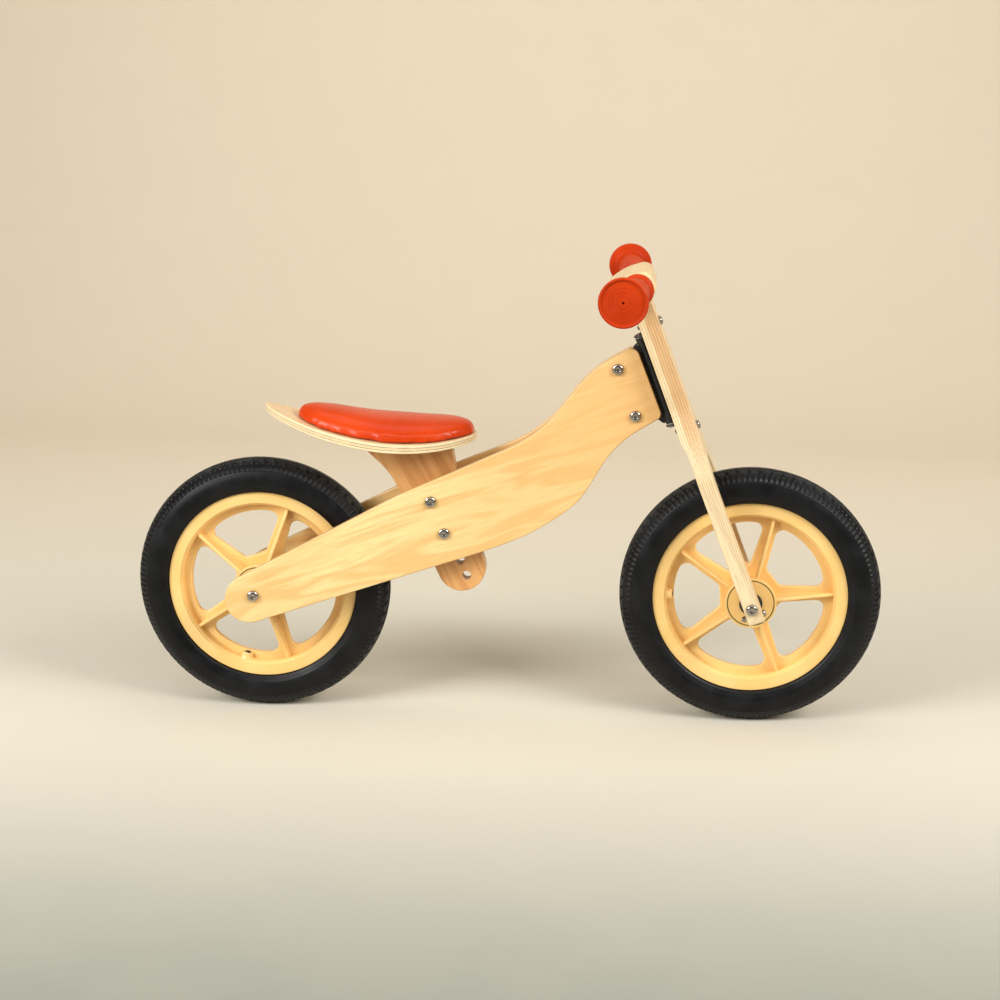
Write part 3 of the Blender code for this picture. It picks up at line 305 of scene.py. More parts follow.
BLACK_STEEL = metal("black_steel", (0.012, 0.012, 0.013), (0.03, 0.03, 0.03), 0.3, metallic=0.2)
ZINC = metal("zinc_steel", (0.62, 0.62, 0.62), (0.48, 0.48, 0.47), 0.24, brushed=0.1)
CHROME = metal("chromed_steel", (0.47, 0.42, 0.37), (0.34, 0.30, 0.26), 0.14)
DARK_ZINC = metal("bracket_steel", (0.16, 0.155, 0.15), (0.10, 0.098, 0.095), 0.3, brushed=0.1)


def wheel_plastic(name, hub):
    """Cream moulded plastic, with a dark olive line of painted shade in the groove of each hub face."""
    finish = Finish(name, Coat_Weight=0.12, Coat_Roughness=0.3, Subsurface_Weight=0.04)
    mottle = finish.noise(finish.place, scale=22.0, detail=4.0)
    skin = finish.noise(finish.place, scale=900.0, detail=2.0)
    tone = finish.mix(finish.span(mottle, 0.3, 0.72), (0.93, 0.62, 0.235), (0.88, 0.56, 0.19))
    offset = finish.node("VectorMath", {0: finish.place, 1: hub * MM}, operation="SUBTRACT")
    flat = finish.node("VectorMath", {0: offset, 1: (1, 0, 1)}, operation="MULTIPLY")
    radius = finish.node("VectorMath", {0: flat}, output=1, operation="LENGTH")
    # Painted shade: a dark olive ring on each hub face, where its groove lies.
    off_line = finish.maths("ABSOLUTE", finish.maths("SUBTRACT", radius, HUB_GROOVE * MM))
    on_face = finish.span(finish.maths("ABSOLUTE", finish.along(finish.place, (0, 1, 0))), 0.0360, 0.0366)
    line = finish.maths("MULTIPLY", finish.span(off_line, 0.00045, 0.00075, 1.0, 0.0), on_face)
    tone = finish.mix(line, tone, (0.13, 0.14, 0.025))
    rough = finish.span(mottle, 0.3, 0.75, 0.33, 0.42)
    return finish.wire(Base_Color=tone, Roughness=rough, Normal=finish.bump(skin, 0.00002, 0.5))


HUB_GROOVE = 26.0
WHEEL_PLASTIC = {
    "rear": wheel_plastic("rear_wheel_plastic", REAR_AXLE),
    "front": wheel_plastic("front_wheel_plastic", FRONT_AXLE),
}


def tyre_rubber():
    """Black rubber with a trace of dust on the tread and a faint bloom."""
    finish = Finish("tyre_rubber", Specular_IOR_Level=0.22)
    bloom = finish.noise(finish.place, scale=35.0, detail=5.0, roughness=0.6)
    skin = finish.noise(finish.place, scale=1100.0, detail=3.0)
    worn = finish.attribute("wear")
    tone = finish.mix(finish.span(bloom, 0.35, 0.75), (0.003, 0.0032, 0.004), (0.008, 0.0085, 0.010))
    dust = finish.maths("MULTIPLY", worn, finish.span(bloom, 0.4, 0.7, 0.15, 0.5))
    tone = finish.mix(dust, tone, (0.055, 0.052, 0.048))
    rough = finish.span(bloom, 0.3, 0.75, 0.34, 0.5)
    return finish.wire(Base_Color=tone, Roughness=rough, Normal=finish.bump(skin, 0.00004, 0.6))


def vinyl():
    """Orange-red upholstery vinyl: a fine pebbled grain under a soft gloss."""
    finish = Finish("seat_vinyl", Coat_Weight=0.2, Coat_Roughness=0.16, Specular_IOR_Level=0.15)
    cell = finish.node("TexVoronoi", {"Vector": finish.place, "Scale": 620.0}, feature="SMOOTH_F1")
    crease = finish.noise(finish.place, scale=140.0, detail=5.0, roughness=0.6)
    mottle = finish.noise(finish.place, scale=16.0, detail=3.0)
    tone = finish.mix(finish.span(mottle, 0.3, 0.7), (0.68, 0.056, 0.003), (0.58, 0.042, 0.002))
    tone = finish.mix(finish.span(cell, 0.1, 0.7, 0.12, 0.0), tone, (0.36, 0.025, 0.003))
    rough = finish.span(crease, 0.3, 0.75, 0.3, 0.42)
    grain_bump = finish.bump(cell, 0.00006, 0.35)
    return finish.wire(Base_Color=tone, Roughness=rough, Normal=finish.bump(crease, 0.0001, 0.25, grain_bump))


TYRE_RUBBER = tyre_rubber()
VINYL = vinyl()

# ---------------------------------------------------------------- shaping tools

ARC_STEP = math.radians(5.0)
SHARP_ANGLE = 38.0
SMOOTH = 72  # sides of a large round piece
SMALL = 36  # sides of a small one
FINE = 24  # sides of a small hole or stem


def rounded(corners, closed=True):
    """Points through (x, z, radius) corners, with an arc at each corner that has a radius."""
    line = []
    count = len(corners)
    for index, (x, z, radius) in enumerate(corners):
        here = Vector((x, z))
        at_end = not closed and index in (0, count - 1)
        if radius == 0 or at_end:
            line.append(here)
            continue
        back = (Vector(corners[index - 1][:2]) - here).normalized()
        ahead = (Vector(corners[(index + 1) % count][:2]) - here).normalized()
        inside = back.angle(ahead)
        centre = here + (back + ahead).normalized() * radius / math.sin(inside / 2)
        start = here + back * radius / math.tan(inside / 2)
        sweep = math.pi - inside
        turn = math.copysign(1.0, back.x * ahead.y - back.y * ahead.x)
        steps = max(3, math.ceil(sweep / ARC_STEP))
        for step in range(steps + 1):
            spin = Matrix.Rotation(-turn * sweep * step / steps, 2)
            line.append(centre + spin @ (start - centre))
    return line


def circle(centre, radius, sides=SMALL):
    """A closed round outline."""
    angles = [2 * math.pi * (side + 0.5) / sides for side in range(sides)]
    return [Vector((centre[0] + radius * math.cos(a), centre[1] + radius * math.sin(a))) for a in angles]


def turning_left(loop, wanted):
    """The loop, running anticlockwise if that is wanted and clockwise if not."""
    area = sum(loop[i - 1].x * loop[i].y - loop[i].x * loop[i - 1].y for i in range(len(loop)))
    return loop if (area > 0) == wanted else loop[::-1]


def inward(loop):
    """At each point, the sideways step into the material that moves both neighbouring edges by one."""
    steps = []
    for i, here in enumerate(loop):
        back = (here - loop[i - 1]).normalized()
        ahead = (loop[(i + 1) % len(loop)] - here).normalized()
        first, second = Vector((-back.y, back.x)), Vector((-ahead.y, ahead.x))
        steps.append((first + second) / max(0.3, 1.0 + first.dot(second)))
    return steps


def board(outline, holes, thickness, edge, place, cuts=(), hole_edge=0.5):
    """A sheet cut to an outline with holes, its edges rounded over.

    Place turns a point (u, v, distance through the sheet) into its position.
    Cuts are (axis, value) planes across the flat sheet, where it can bend.
    """
    bm = bmesh.new()
    through = bm.verts.layers.float.new("ply")
    caps = ([], [])
    loops = [(turning_left(outline, True), edge)]
    loops += [(turning_left(hole, False), hole_edge) for hole in holes]
    for loop, radius in loops:
        steps = inward(loop)
        count = 4
        ring_plan = [(radius + 0.5, 0.0)]
        for k in range(count + 1):
            a = math.pi / 2 * k / count
            ring_plan.append((radius * (1 - math.sin(a)), radius * (1 - math.cos(a))))
        ring_plan += [(inset, thickness - depth) for inset, depth in reversed(ring_plan)]
        rings = []
        for inset, depth in ring_plan:
            ring = [bm.verts.new((*(p + s * inset), depth)) for p, s in zip(loop, steps)]
            rings.append(ring)
        stitched(bm, rings)
        for cap, ring in zip(caps, (rings[0], rings[-1])):
            cap += [bm.edges.get((ring[i - 1], ring[i])) for i in range(len(ring))]
    for cap in caps:
        bmesh.ops.triangle_fill(bm, edges=cap, use_beauty=True, normal=(0, 0, 1))
    for axis, value in cuts:
        parts = bm.verts[:] + bm.edges[:] + bm.faces[:]
        point = [0.0, 0.0, 0.0]
        normal = [0.0, 0.0, 0.0]
        point[axis] = value
        normal[axis] = 1.0
        bmesh.ops.bisect_plane(bm, geom=parts, plane_co=point, plane_no=normal, dist=1e-5)
    for point in bm.verts:
        point[through] = point.co.z
        point.co = place(*point.co)
    return bm


def stitched(bm, rings, closed=False):
    """Faces between each ring of points and the next.  A ring of one point makes a fan."""
    pairs = list(zip(rings, rings[1:]))
    if closed:
        pairs.append((rings[-1], rings[0]))
    for ring, following in pairs:
        for i in range(max(len(ring), len(following))):
            if len(ring) == 1:
                bm.faces.new((ring[0], following[i], following[i - 1]))
            elif len(following) == 1:
                bm.faces.new((ring[i - 1], ring[i], following[0]))
            else:
                bm.faces.new((ring[i - 1], ring[i], following[i], following[i - 1]))


def turned(profile, sides=SMOOTH, closed=False):
    """A shape turned about Y from (radius, y) points.  A third value makes a polygon of so many sides."""
    bm = bmesh.new()
    rings = []
    for radius, along, *corners in profile:
        if radius < 1e-6:
            rings.append([bm.verts.new((0.0, along, 0.0))])
            continue
        ring = []
        for side in range(sides):
            angle = 2 * math.pi * side / sides
            reach = radius
            if corners:
                sector = 2 * math.pi / corners[0]
                reach = radius / math.cos((angle + sector / 2) % sector - sector / 2)
            ring.append(bm.verts.new((reach * math.cos(angle), along, reach * math.sin(angle))))
        rings.append(ring)
    stitched(bm, rings, closed)
    return bm


def soft_profile(corners, closed=True):
    """A turned profile with rounded corners, from (radius, y, corner radius)."""
    return [tuple(point) for point in rounded(corners, closed)]


def moved(bm, matrix):
    """The same bmesh, moved by a matrix."""
    bmesh.ops.transform(bm, matrix=matrix, verts=bm.verts)
    return bm


def joined(parts):
    """Several bmeshes as one."""
    whole = bmesh.new()
    for part in parts:
        carrier = bpy.data.meshes.new("carrier")
        part.to_mesh(carrier)
        part.free()
        whole.from_mesh(carrier)
        bpy.data.meshes.remove(carrier)
    return whole


def onto(direction, start=(0, 0, 0)):
    """The matrix that lays a shape turned about Y along a direction."""
    turn = Vector((0, 1, 0)).rotation_difference(Vector(direction)).to_matrix().to_4x4()
    return Matrix.Translation(start) @ turn


def at_point(bm, x, y, z):
    """The same bmesh, shifted."""
    return moved(bm, Matrix.Translation((x, y, z)))


def one_side(profile, side, sides=SMALL):
    """A ring turned about Y from a rounded profile, on the right (-1) or the left (1)."""
    return turned([(radius, side * along) for radius, along in soft_profile(profile)], sides, closed=True)


def across_middle(half_thickness):
    """Where a point (u, v, distance through) of an upright board in the middle plane goes."""
    return lambda u, v, depth: (u, depth - half_thickness, v)


UPRIGHT = Matrix.Rotation(math.pi / 2, 4, "X")  # turns Y into Z
FORWARD = Matrix.Rotation(-math.pi / 2, 4, "Z")  # turns Y into X


def linked(name, bm, space):
    """A bmesh in millimetres as an object in the scene."""
    bmesh.ops.recalc_face_normals(bm, faces=bm.faces)
    bmesh.ops.transform(bm, matrix=space, verts=bm.verts)
    mesh = bpy.data.meshes.new(name)
    bm.to_mesh(mesh)
    bm.free()
    made = bpy.data.objects.new(name, mesh)
    bpy.context.scene.collection.objects.link(made)
    return made


def piece(node, bm, surface, home, sharp=SHARP_ANGLE):
    """Makes the object that stands for a node and hangs it on its body.  Home is (body, datum)."""
    body, space = home
    made = linked(f"{node}_fine", bm, space)
    made.data.materials.append(surface)
    made.data.shade_smooth()
    made.data.set_sharp_from_angle(angle=math.radians(sharp))
    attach(made, body)
    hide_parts(node)
    flatten = made.modifiers.new("flat faces", "WEIGHTED_NORMAL")
    flatten.keep_sharp = True
    return made


def evaluated(made):
    """The object's mesh with its modifiers applied, which are then taken off."""
    graph = bpy.context.evaluated_depsgraph_get()
    result = bpy.data.meshes.new_from_object(made.evaluated_get(graph))
    made.modifiers.clear()
    made.data = result

# ---------------------------------------------------------------- fasteners

BOLT_RADIUS = 3.0
AXLE_RADIUS = 4.0
HEAD_RADIUS = 6.5
HEAD_HEIGHT = 3.8
SOCKET_RADIUS = 2.1


def dome(reach, radius, height, socket):
    """Profile of a button head from its socket's floor to its rim, with a hexagonal socket."""
    floor = reach + height - 2.2
    mouth = reach + height - 0.25
    line = [(0.0, floor - 0.5), (socket, floor, 6), (socket, mouth - 0.1, 6), (socket + 0.55, mouth + 0.1)]
    start = socket + 0.9
    for k in range(9):
        a = math.pi / 2 * k / 8
        across = start + (radius - start) * math.sin(a)
        up = reach + 1.0 + (height - 1.0) * math.cos(a) ** 0.85
        line.append((across, up))
    line += [(radius, reach + 0.35), (radius - 0.3, reach)]
    return line


def threaded(radius, start, end, pitch=1.0):
    """The outline of a screw thread along a shank, as a row of shallow crests."""
    line = []
    steps = int(abs(end - start) / pitch)
    for k in range(steps + 1):
        at = start + (end - start) * k / steps
        line.append((radius - (0.0 if k % 2 else 0.28), at))
    return line


def cross_bolt(name, at, reach, home, shank=BOLT_RADIUS, slope=0.0):
    """A button-head bolt from the right and the matching sleeve nut on the left, along Y."""
    face = reach - 0.01

    def seat_on_face(bm, side):
        at_point(bm, at[0], 0, at[1])
        for point in bm.verts:
            if side * point.co.y >= face:
                point.co.y += side * slope * (point.co.x - at[0])
        return bm

    tip = -(reach - 3.0)
    bolt = dome(reach, HEAD_RADIUS, HEAD_HEIGHT, SOCKET_RADIUS) + [(shank, reach - 0.2), (shank, 8.0)]
    bolt += threaded(shank, 6.0, tip + 1.0) + [(shank - 0.9, tip), (0.0, tip)]
    right = turned([(p[0], -p[1], *p[2:]) for p in bolt], SMALL)
    piece(f"{name}_bolt", seat_on_face(right, -1), CHROME, home)
    bore = shank + GAP
    sleeve = bore + 1.2
    nut = dome(reach, HEAD_RADIUS, HEAD_HEIGHT, SOCKET_RADIUS)
    nut += [(sleeve, reach - 0.2), (sleeve, reach - 7.7), (sleeve - 0.3, reach - 8.0), (bore, reach - 8.0)]
    nut += [(bore, reach - 2.0), (0.0, reach - 2.0)]
    left = turned(nut, SMALL)
    piece(f"{name}_nut", seat_on_face(left, 1), CHROME, home)


# ---------------------------------------------------------------- frame

PANEL_THICKNESS = 9.0
HEAD_HALF_WIDTH = 11.6
SPLAY = 0.139
SPLAY_START = 375.0
SPLAY_BLEND = 25.0
PANEL_OUTLINE = [
    (-31.8, 106.9, 27.2),
    (257.9, 197.3, 500.0),
    (314.2, 217.6, 220.0),
    (367.0, 254.0, 85.0),
    (407.2, 322.4, 115.0),
    (459.4, 354.7, 8.0),
    (428.3, 434.3, 9.0),
    (378.9, 407.5, 140.0),
    (323.5, 332.8, 160.0),
    (165.0, 265.0, 450.0),
    (-31.8, 161.9, 27.2),
]
HEAD_BOLTS = {"upper": (408.7, 407.6), "lower": (429.1, 354.9)}
POST_HALF_THICKNESS = 9.0
POST_HOLES = 6
POST_FIRST_HOLE = Vector((200.6, 256.7))
POST_HOLE_PITCH = 20.0
POST_HOLE_LEAN = math.radians(22.2)
POST_HOLE_RADIUS = 5.3
POST_BOLT_HOLES = {"upper": 0, "lower": 2}


def panel_outer(forward):
    """Distance of a side panel's outer face from the middle plane."""
    behind = SPLAY_START - forward
    return HEAD_HALF_WIDTH + SPLAY * (behind + math.hypot(behind, SPLAY_BLEND)) / 2


def panel_slope(forward):
    """Millimetres by which the outer face moves outward for each millimetre forward."""
    return panel_outer(forward + 0.5) - panel_outer(forward - 0.5)


def post_hole(index):
    """Centre of a hole of the seat post, counted from the top."""
    lean = Vector((math.sin(POST_HOLE_LEAN), -math.cos(POST_HOLE_LEAN)))
    return POST_FIRST_HOLE + index * POST_HOLE_PITCH * lean


FRAME_BOLTS = {f"head_{place}": at for place, at in HEAD_BOLTS.items()}
FRAME_BOLTS.update({f"seat_{place}": tuple(post_hole(index)) for place, index in POST_BOLT_HOLES.items()})


def build_panels():
    """The two plywood sides, bent out to their splay, with eased edges."""
    holes = [circle(at, BOLT_RADIUS + 0.6) for at in FRAME_BOLTS.values()]
    holes.append(circle((0.0, AXLE_HEIGHT), AXLE_RADIUS + 0.6))
    cuts = [(0, station) for station in range(260, 460, 6)]
    for name, side in SIDES:

        def place(u, v, depth, side=side):
            inner = panel_outer(u) - PANEL_THICKNESS
            return u, side * (inner + depth), v

        bm = board(rounded(PANEL_OUTLINE), holes, PANEL_THICKNESS, 1.5, place, cuts)
        piece(f"frame_side_{name}", bm, PANEL, FRAME)


TUBE_RADIUS = 6.25
TUBE_BOTTOM = 218.9
TUBE_TOP = 320.9
PIN_RADIUS = 3.5
BUSH_RADIUS = 4.7
WEB_HALF_THICKNESS = 2.3
WEB = [
    (-47.0, 229.0, 6.0),
    (-14.0, 229.0, 7.0),
    (-9.0, 220.5, 5.0),
    (-3.0, 220.5, 0.0),
    (-3.0, 316.0, 0.0),
    (-9.0, 316.0, 5.0),
    (-15.0, 309.5, 8.0),
    (-47.0, 309.5, 6.0),
]


def build_head_bracket():
    """The black steering tube with its web plate, and the nylon bushes in its ends."""
    bore = BUSH_RADIUS + GAP
    tube = soft_profile([
        (bore, TUBE_BOTTOM, 0.3),
        (TUBE_RADIUS, TUBE_BOTTOM, 0.5),
        (TUBE_RADIUS, TUBE_TOP, 0.5),
        (bore, TUBE_TOP, 0.3),
    ])
    plate = board(rounded(WEB), [], 2 * WEB_HALF_THICKNESS, 0.7, across_middle(WEB_HALF_THICKNESS))
    bead = []
    for side in (-1, 1):
        for k in range(24):
            height = 224.0 + 3.9 * k
            wobble = 0.25 * math.sin(k * 1.7)
            ripple = turned([(0.0, -2.0), (1.3, -1.4), (1.7 + wobble, 0.0), (1.3, 1.4), (0.0, 2.0)], 12)
            at = Matrix.Translation((-5.6, side * 2.5, height))
            bead.append(moved(ripple, at @ UPRIGHT @ Matrix.Diagonal((1.0, 1.15, 1.0, 1.0))))
    bm = joined([plate, moved(turned(tube, SMOOTH, closed=True), UPRIGHT), *bead])
    piece("head_bracket", bm, BLACK_STEEL, HEAD_TUBE)
    for name, end, up in (("upper", TUBE_TOP, -1), ("lower", TUBE_BOTTOM, 1)):
        lip = end - up * (GAP + 0.6)
        profile = soft_profile([
            (PIN_RADIUS + GAP, lip, 0.2),
            (TUBE_RADIUS - 0.6, lip, 0.2),
            (TUBE_RADIUS - 0.6, lip + up * 0.6, 0.1),
            (BUSH_RADIUS, lip + up * 0.6, 0.0),
            (BUSH_RADIUS, end + up * 14.0, 0.4),
            (PIN_RADIUS + GAP, end + up * 14.0, 0.2),
        ])
        bush = moved(turned(profile, SMALL, closed=True), UPRIGHT)
        piece(f"steering_bush_{name}", bush, NYLON, HEAD_TUBE)


# ---------------------------------------------------------------- seat

SEAT_APEX = (178.0, 325.6)
SEAT_CURVE = 0.0012
SEAT_THICKNESS = 10.4
SEAT_THINNING = 2.4
SEAT_TAIL = 6.5
SEAT_WIDEST = 150.0
SEAT_NOSE = 249.5
SEAT_HALF_WIDTH = 59.0
SEAT_SCREWS = {"front": 205.0, "rear": 150.0}


def seat_top(forward):
    """Height of the seat board's upper face."""
    return SEAT_APEX[1] + SEAT_CURVE * (forward - SEAT_APEX[0]) ** 2


def seat_thickness(forward):
    """Thickness of the seat board, which is thinner at both ends."""
    middle = (SEAT_TAIL + SEAT_NOSE) / 2
    part = (forward - middle) / (SEAT_NOSE - middle)
    return SEAT_THICKNESS - SEAT_THINNING * part**2


def seat_half_width(forward):
    """Half width of the seat board: a tapering tail with a blunt tip, widest over the post, a round nose."""
    if forward <= SEAT_WIDEST:
        along = max(0.0, (forward - SEAT_TAIL) / (SEAT_WIDEST - SEAT_TAIL))
        return SEAT_HALF_WIDTH * along**0.55 * (1.25 - 0.25 * along)
    along = min(1.0, (forward - SEAT_WIDEST) / (SEAT_NOSE - SEAT_WIDEST))
    return SEAT_HALF_WIDTH * (1.0 - along**2.6) ** 0.5


def seat_outline(count=72):
    """The seat board from above."""
    middle, half = (SEAT_TAIL + SEAT_NOSE) / 2, (SEAT_NOSE - SEAT_TAIL) / 2
    stations = [middle - half * math.cos(math.pi * k / count) for k in range(count + 1)]
    right = [Vector((forward, -seat_half_width(forward))) for forward in stations]
    left = [Vector((forward, seat_half_width(forward))) for forward in reversed(stations[1:-1])]
    return right + left


def build_seat_board():
    """The dished plywood seat with its three thick plies."""

    def place(u, v, depth):
        share = seat_thickness(u) / SEAT_THICKNESS
        return u, v, seat_top(u) - (SEAT_THICKNESS - depth) * share

    holes = [circle((forward, 0.0), 5.2, FINE) for forward in SEAT_SCREWS.values()]
    cuts = [(0, station) for station in range(10, 248, 5)]
    bm = board(seat_outline(), holes, SEAT_THICKNESS, 1.3, place, cuts)
    piece("seat_board", bm, SEAT_PLY, FRAME)


def build_post():
    """The flat post under the seat, with its row of holes."""
    top = []
    for forward in (221.4, 210.0, 200.0, 188.0, 176.0, 164.0, 152.0, 141.0, 130.0, 120.0, 111.0):
        top.append((forward, seat_top(forward) - seat_thickness(forward) - 2 * GAP, 0.0))
    outline = [*top, (151.7, 283.2, 90.0), (214.5, 145.3, 28.3), (270.4, 146.0, 28.0), (226.4, 285.0, 25.0)]
    holes = [circle(post_hole(index), POST_HOLE_RADIUS) for index in range(POST_HOLES)]
    place = across_middle(POST_HALF_THICKNESS)
    bm = board(rounded(outline), holes, 2 * POST_HALF_THICKNESS, 1.2, place, hole_edge=0.7)
    piece("seat_post", bm, POST_PLY, FRAME)


def build_seat_spacers():
    """Turned wooden spacers between the sides and the post."""
    for place, index in POST_BOLT_HOLES.items():
        at = post_hole(index)
        for name, side in SIDES:
            face = panel_outer(at.x) - PANEL_THICKNESS - GAP
            shoulder = POST_HALF_THICKNESS + GAP
            profile = [
                (BOLT_RADIUS + 1.5, face, 0.2),
                (11.0, face, 0.8),
                (11.0, shoulder, 0.8),
                (POST_HOLE_RADIUS - GAP, shoulder, 0.3),
                (POST_HOLE_RADIUS - GAP, 1.0, 0.4),
                (BOLT_RADIUS + 1.5, 1.0, 0.2),
            ]
            bm = at_point(one_side(profile, side), at.x, 0, at.y)
            for point in bm.verts:
                share = (abs(point.co.y) - shoulder) / (face - shoulder)
                if share > 0:
                    point.co.y += side * share * panel_slope(at.x) * (point.co.x - at.x)
            piece(f"seat_spacer_{place}_{name}", bm, TURNED_WOOD, FRAME)


def build_seat_screws():
    """Countersunk wood screws with a square recess."""
    for place, forward in SEAT_SCREWS.items():
        line = [(0.0, -1.6), (0.9, -1.4, 4), (1.9, -0.1, 4), (2.6, 0.0), (4.4, 0.0), (4.6, -0.2), (2.3, -2.6)]
        for k in range(24):
            line.append((2.1 if k % 2 else 1.6, -3.4 - 1.5 * k))
        line.append((0.0, -42.0))
        bm = moved(turned(line, FINE), UPRIGHT)
        piece(f"seat_screw_{place}", at_point(bm, forward, 0, seat_top(forward) - 0.2), ZINC, FRAME)


CUSHION_TAIL = 44.0
CUSHION_NOSE = 247.0


def cushion_half_width(forward):
    """Half width of the cushion, which stays inside the board."""
    along = (forward - CUSHION_TAIL) / (CUSHION_NOSE - CUSHION_TAIL)
    tail_taper = (min(max(along, 0.0), 0.32) / 0.32) ** 0.45
    return min(seat_half_width(forward) - 5.0, 54.0 * tail_taper)


def cushion_shell():
    """The pad before it swells: a low wall with a crowned top, following the dish of the board."""
    shrink = 0.9
    bm = bmesh.new()
    rows = []
    count = 40
    middle, half_length = (CUSHION_TAIL + CUSHION_NOSE) / 2, (CUSHION_NOSE - CUSHION_TAIL) / 2
    for step in range(count + 1):
        forward = middle - (half_length + 0.6 - shrink) * math.cos(math.pi * step / count)
        along = (forward - CUSHION_TAIL) / (CUSHION_NOSE - CUSHION_TAIL)
        ends = max(0.004, 4.0 * along * (1.0 - along))
        half = max(1.5, cushion_half_width(forward) - shrink)
        base = seat_top(forward) + GAP + 0.3
        wall = 12.2 * ends**0.07
        side = [(half - 0.8, base), (half, base + 1.0), (half + 0.4, base + wall / 2), (half, base + wall)]
        ring = [(-across, level) for across, level in side]
        for k in range(1, 16):
            across = -1.0 + k / 8.0
            crown = 12.0 * ends**0.42 * (1.0 - abs(across) ** 2.2) * (1.0 - 0.16 * along)
            ring.append((half * 0.985 * across, base + wall + crown))
        ring += reversed(side)
        rows.append([bm.verts.new((forward, side, level)) for side, level in ring])
    stitched(bm, rows)
    bm.faces.new(rows[0])
    bm.faces.new(rows[-1])
    return bm


def swollen(pad):
    """Inflates a pad by cloth simulation, with its base held down and its travel capped."""
    most_travel = 1.8 * MM
    remesh = pad.modifiers.new("even", "REMESH")
    remesh.mode = "VOXEL"
    remesh.voxel_size = 4.0 * MM
    evaluated(pad)
    rest = [point.co.copy() for point in pad.data.vertices]
    held = pad.vertex_groups.new(name="held")
    for index, point in enumerate(rest):
        forward = point.x / MM - REAR_AXLE.x
        lift = point.z / MM - seat_top(forward)
        held.add([index], max(0.0, min(1.0, (4.5 - lift) / 2.5)), "REPLACE")
    cloth = pad.modifiers.new("swell", "CLOTH")
    cloth.settings.use_pressure = True
    cloth.settings.uniform_pressure_force = 4.0
    cloth.settings.vertex_group_mass = "held"
    cloth.settings.effector_weights.gravity = 0.0
    cloth.settings.quality = 6
    for number in range(1, 21):
        bpy.context.scene.frame_set(number)
    evaluated(pad)
    for point, start in zip(pad.data.vertices, rest):
        travel = point.co - start
        if travel.length > most_travel:
            point.co = start + travel.normalized() * most_travel
    bpy.context.scene.frame_set(1)


def crease(pad):
    """Pulls a fold into the cover near the nose, on each side, and a shallow sitting dent on top."""
    for point in pad.data.vertices:
        forward = point.co.x / MM - REAR_AXLE.x
        side = point.co.y / MM
        lift = point.co.z / MM - seat_top(forward)
        half = max(1.0, cushion_half_width(forward))
        outward = min(1.0, abs(side) / half)
        fold_at = 226.0 + 2.0 * math.sin(lift * 0.5) - 0.25 * lift
        fold = math.exp(-(((forward - fold_at) / 1.7) ** 2)) * max(0.0, outward - 0.72) / 0.28
        fold *= 1.0 if lift < 17.0 else 0.0
        ridge = math.exp(-(((forward - fold_at - 4.0) / 2.6) ** 2)) * max(0.0, outward - 0.72) / 0.28
        point.co.y -= math.copysign((1.1 * fold - 0.5 * ridge) * MM, side)
        dent = math.exp(-(((forward - 128.0) / 26.0) ** 2) - (side / 30.0) ** 2)
        point.co.z -= 1.0 * MM * dent * (1.0 if lift > 14.0 else 0.0)


def build_cushion():
    """The padded vinyl top."""
    pad = piece("seat_cushion", cushion_shell(), VINYL, FRAME)
    swollen(pad)
    upper = pad.vertex_groups.new(name="upper")
    for index, point in enumerate(pad.data.vertices):
        lift = point.co.z / MM - seat_top(point.co.x / MM - REAR_AXLE.x)
        upper.add([index], step_in(lift, 2.0, 6.0), "REPLACE")
    smooth = pad.modifiers.new("ease", "SMOOTH")
    smooth.vertex_group = "upper"
    smooth.iterations = 14
    smooth.factor = 0.5
    evaluated(pad)
    pad.data.materials.clear()
    pad.data.materials.append(VINYL)
    finer = pad.modifiers.new("finer", "SUBSURF")
    finer.levels = 1
    finer.render_levels = 1
    polish = pad.modifiers.new("polish", "SMOOTH")
    polish.vertex_group = "upper"
    polish.iterations = 70
    polish.factor = 0.5
    evaluated(pad)
    crease(pad)
    pad.data.shade_smooth()


# ---------------------------------------------------------------- wheels

TYRE_SECTION = 23.5
TYRE_MIDDLE = 125.0
RIM_RADIUS = 110.3
RIM_HALF_WIDTH = 16.0
HUB_HALF_WIDTH = 38.0
HUB_RADIUS = 29.0
BEARING_RADIUS = 11.0
BEARING_WIDTH = 7.0
AXLE_BORE = AXLE_RADIUS + GAP
SPOKES = 5
TUBE_MIDDLE = 125.5
TUBE_SECTION = 13.0
STEM_RADIUS = 2.2
VALVE_OFFSET = -6.4
VALVE_FOOT = 91.5
CAP_LENGTH = 4.2
BOSS_TOP = 88.0
BOSS_RADIUS = 6.6
BOSS_WELL_RADIUS = 3.6
NOTCHES = 72
WHEELS = {  # home, first spoke's angle, valve's angle
    "rear": (REAR_WHEEL, -1.0, 256.0),
    "front": (FRONT_WHEEL, 3.0, 180.0),
}
WALL_LINES = ((64.0, -0.35), (100.0, -0.25), (108.0, -0.25), (121.0, -0.4))
WALL_ANGLES = [64.0, 66.0, 72.0, 80.0, 88.0, 96.0, 98.5, 100.0, 101.5]
WALL_ANGLES += [106.5, 108.0, 109.5, 115.0, 119.5, 121.0, 122.5, 126.0]


def step_in(value, low, high):
    """Rises smoothly from 0 at low to 1 at high."""
    part = max(0.0, min(1.0, (value - low) / (high - low)))
    return part * part * (3 - 2 * part)


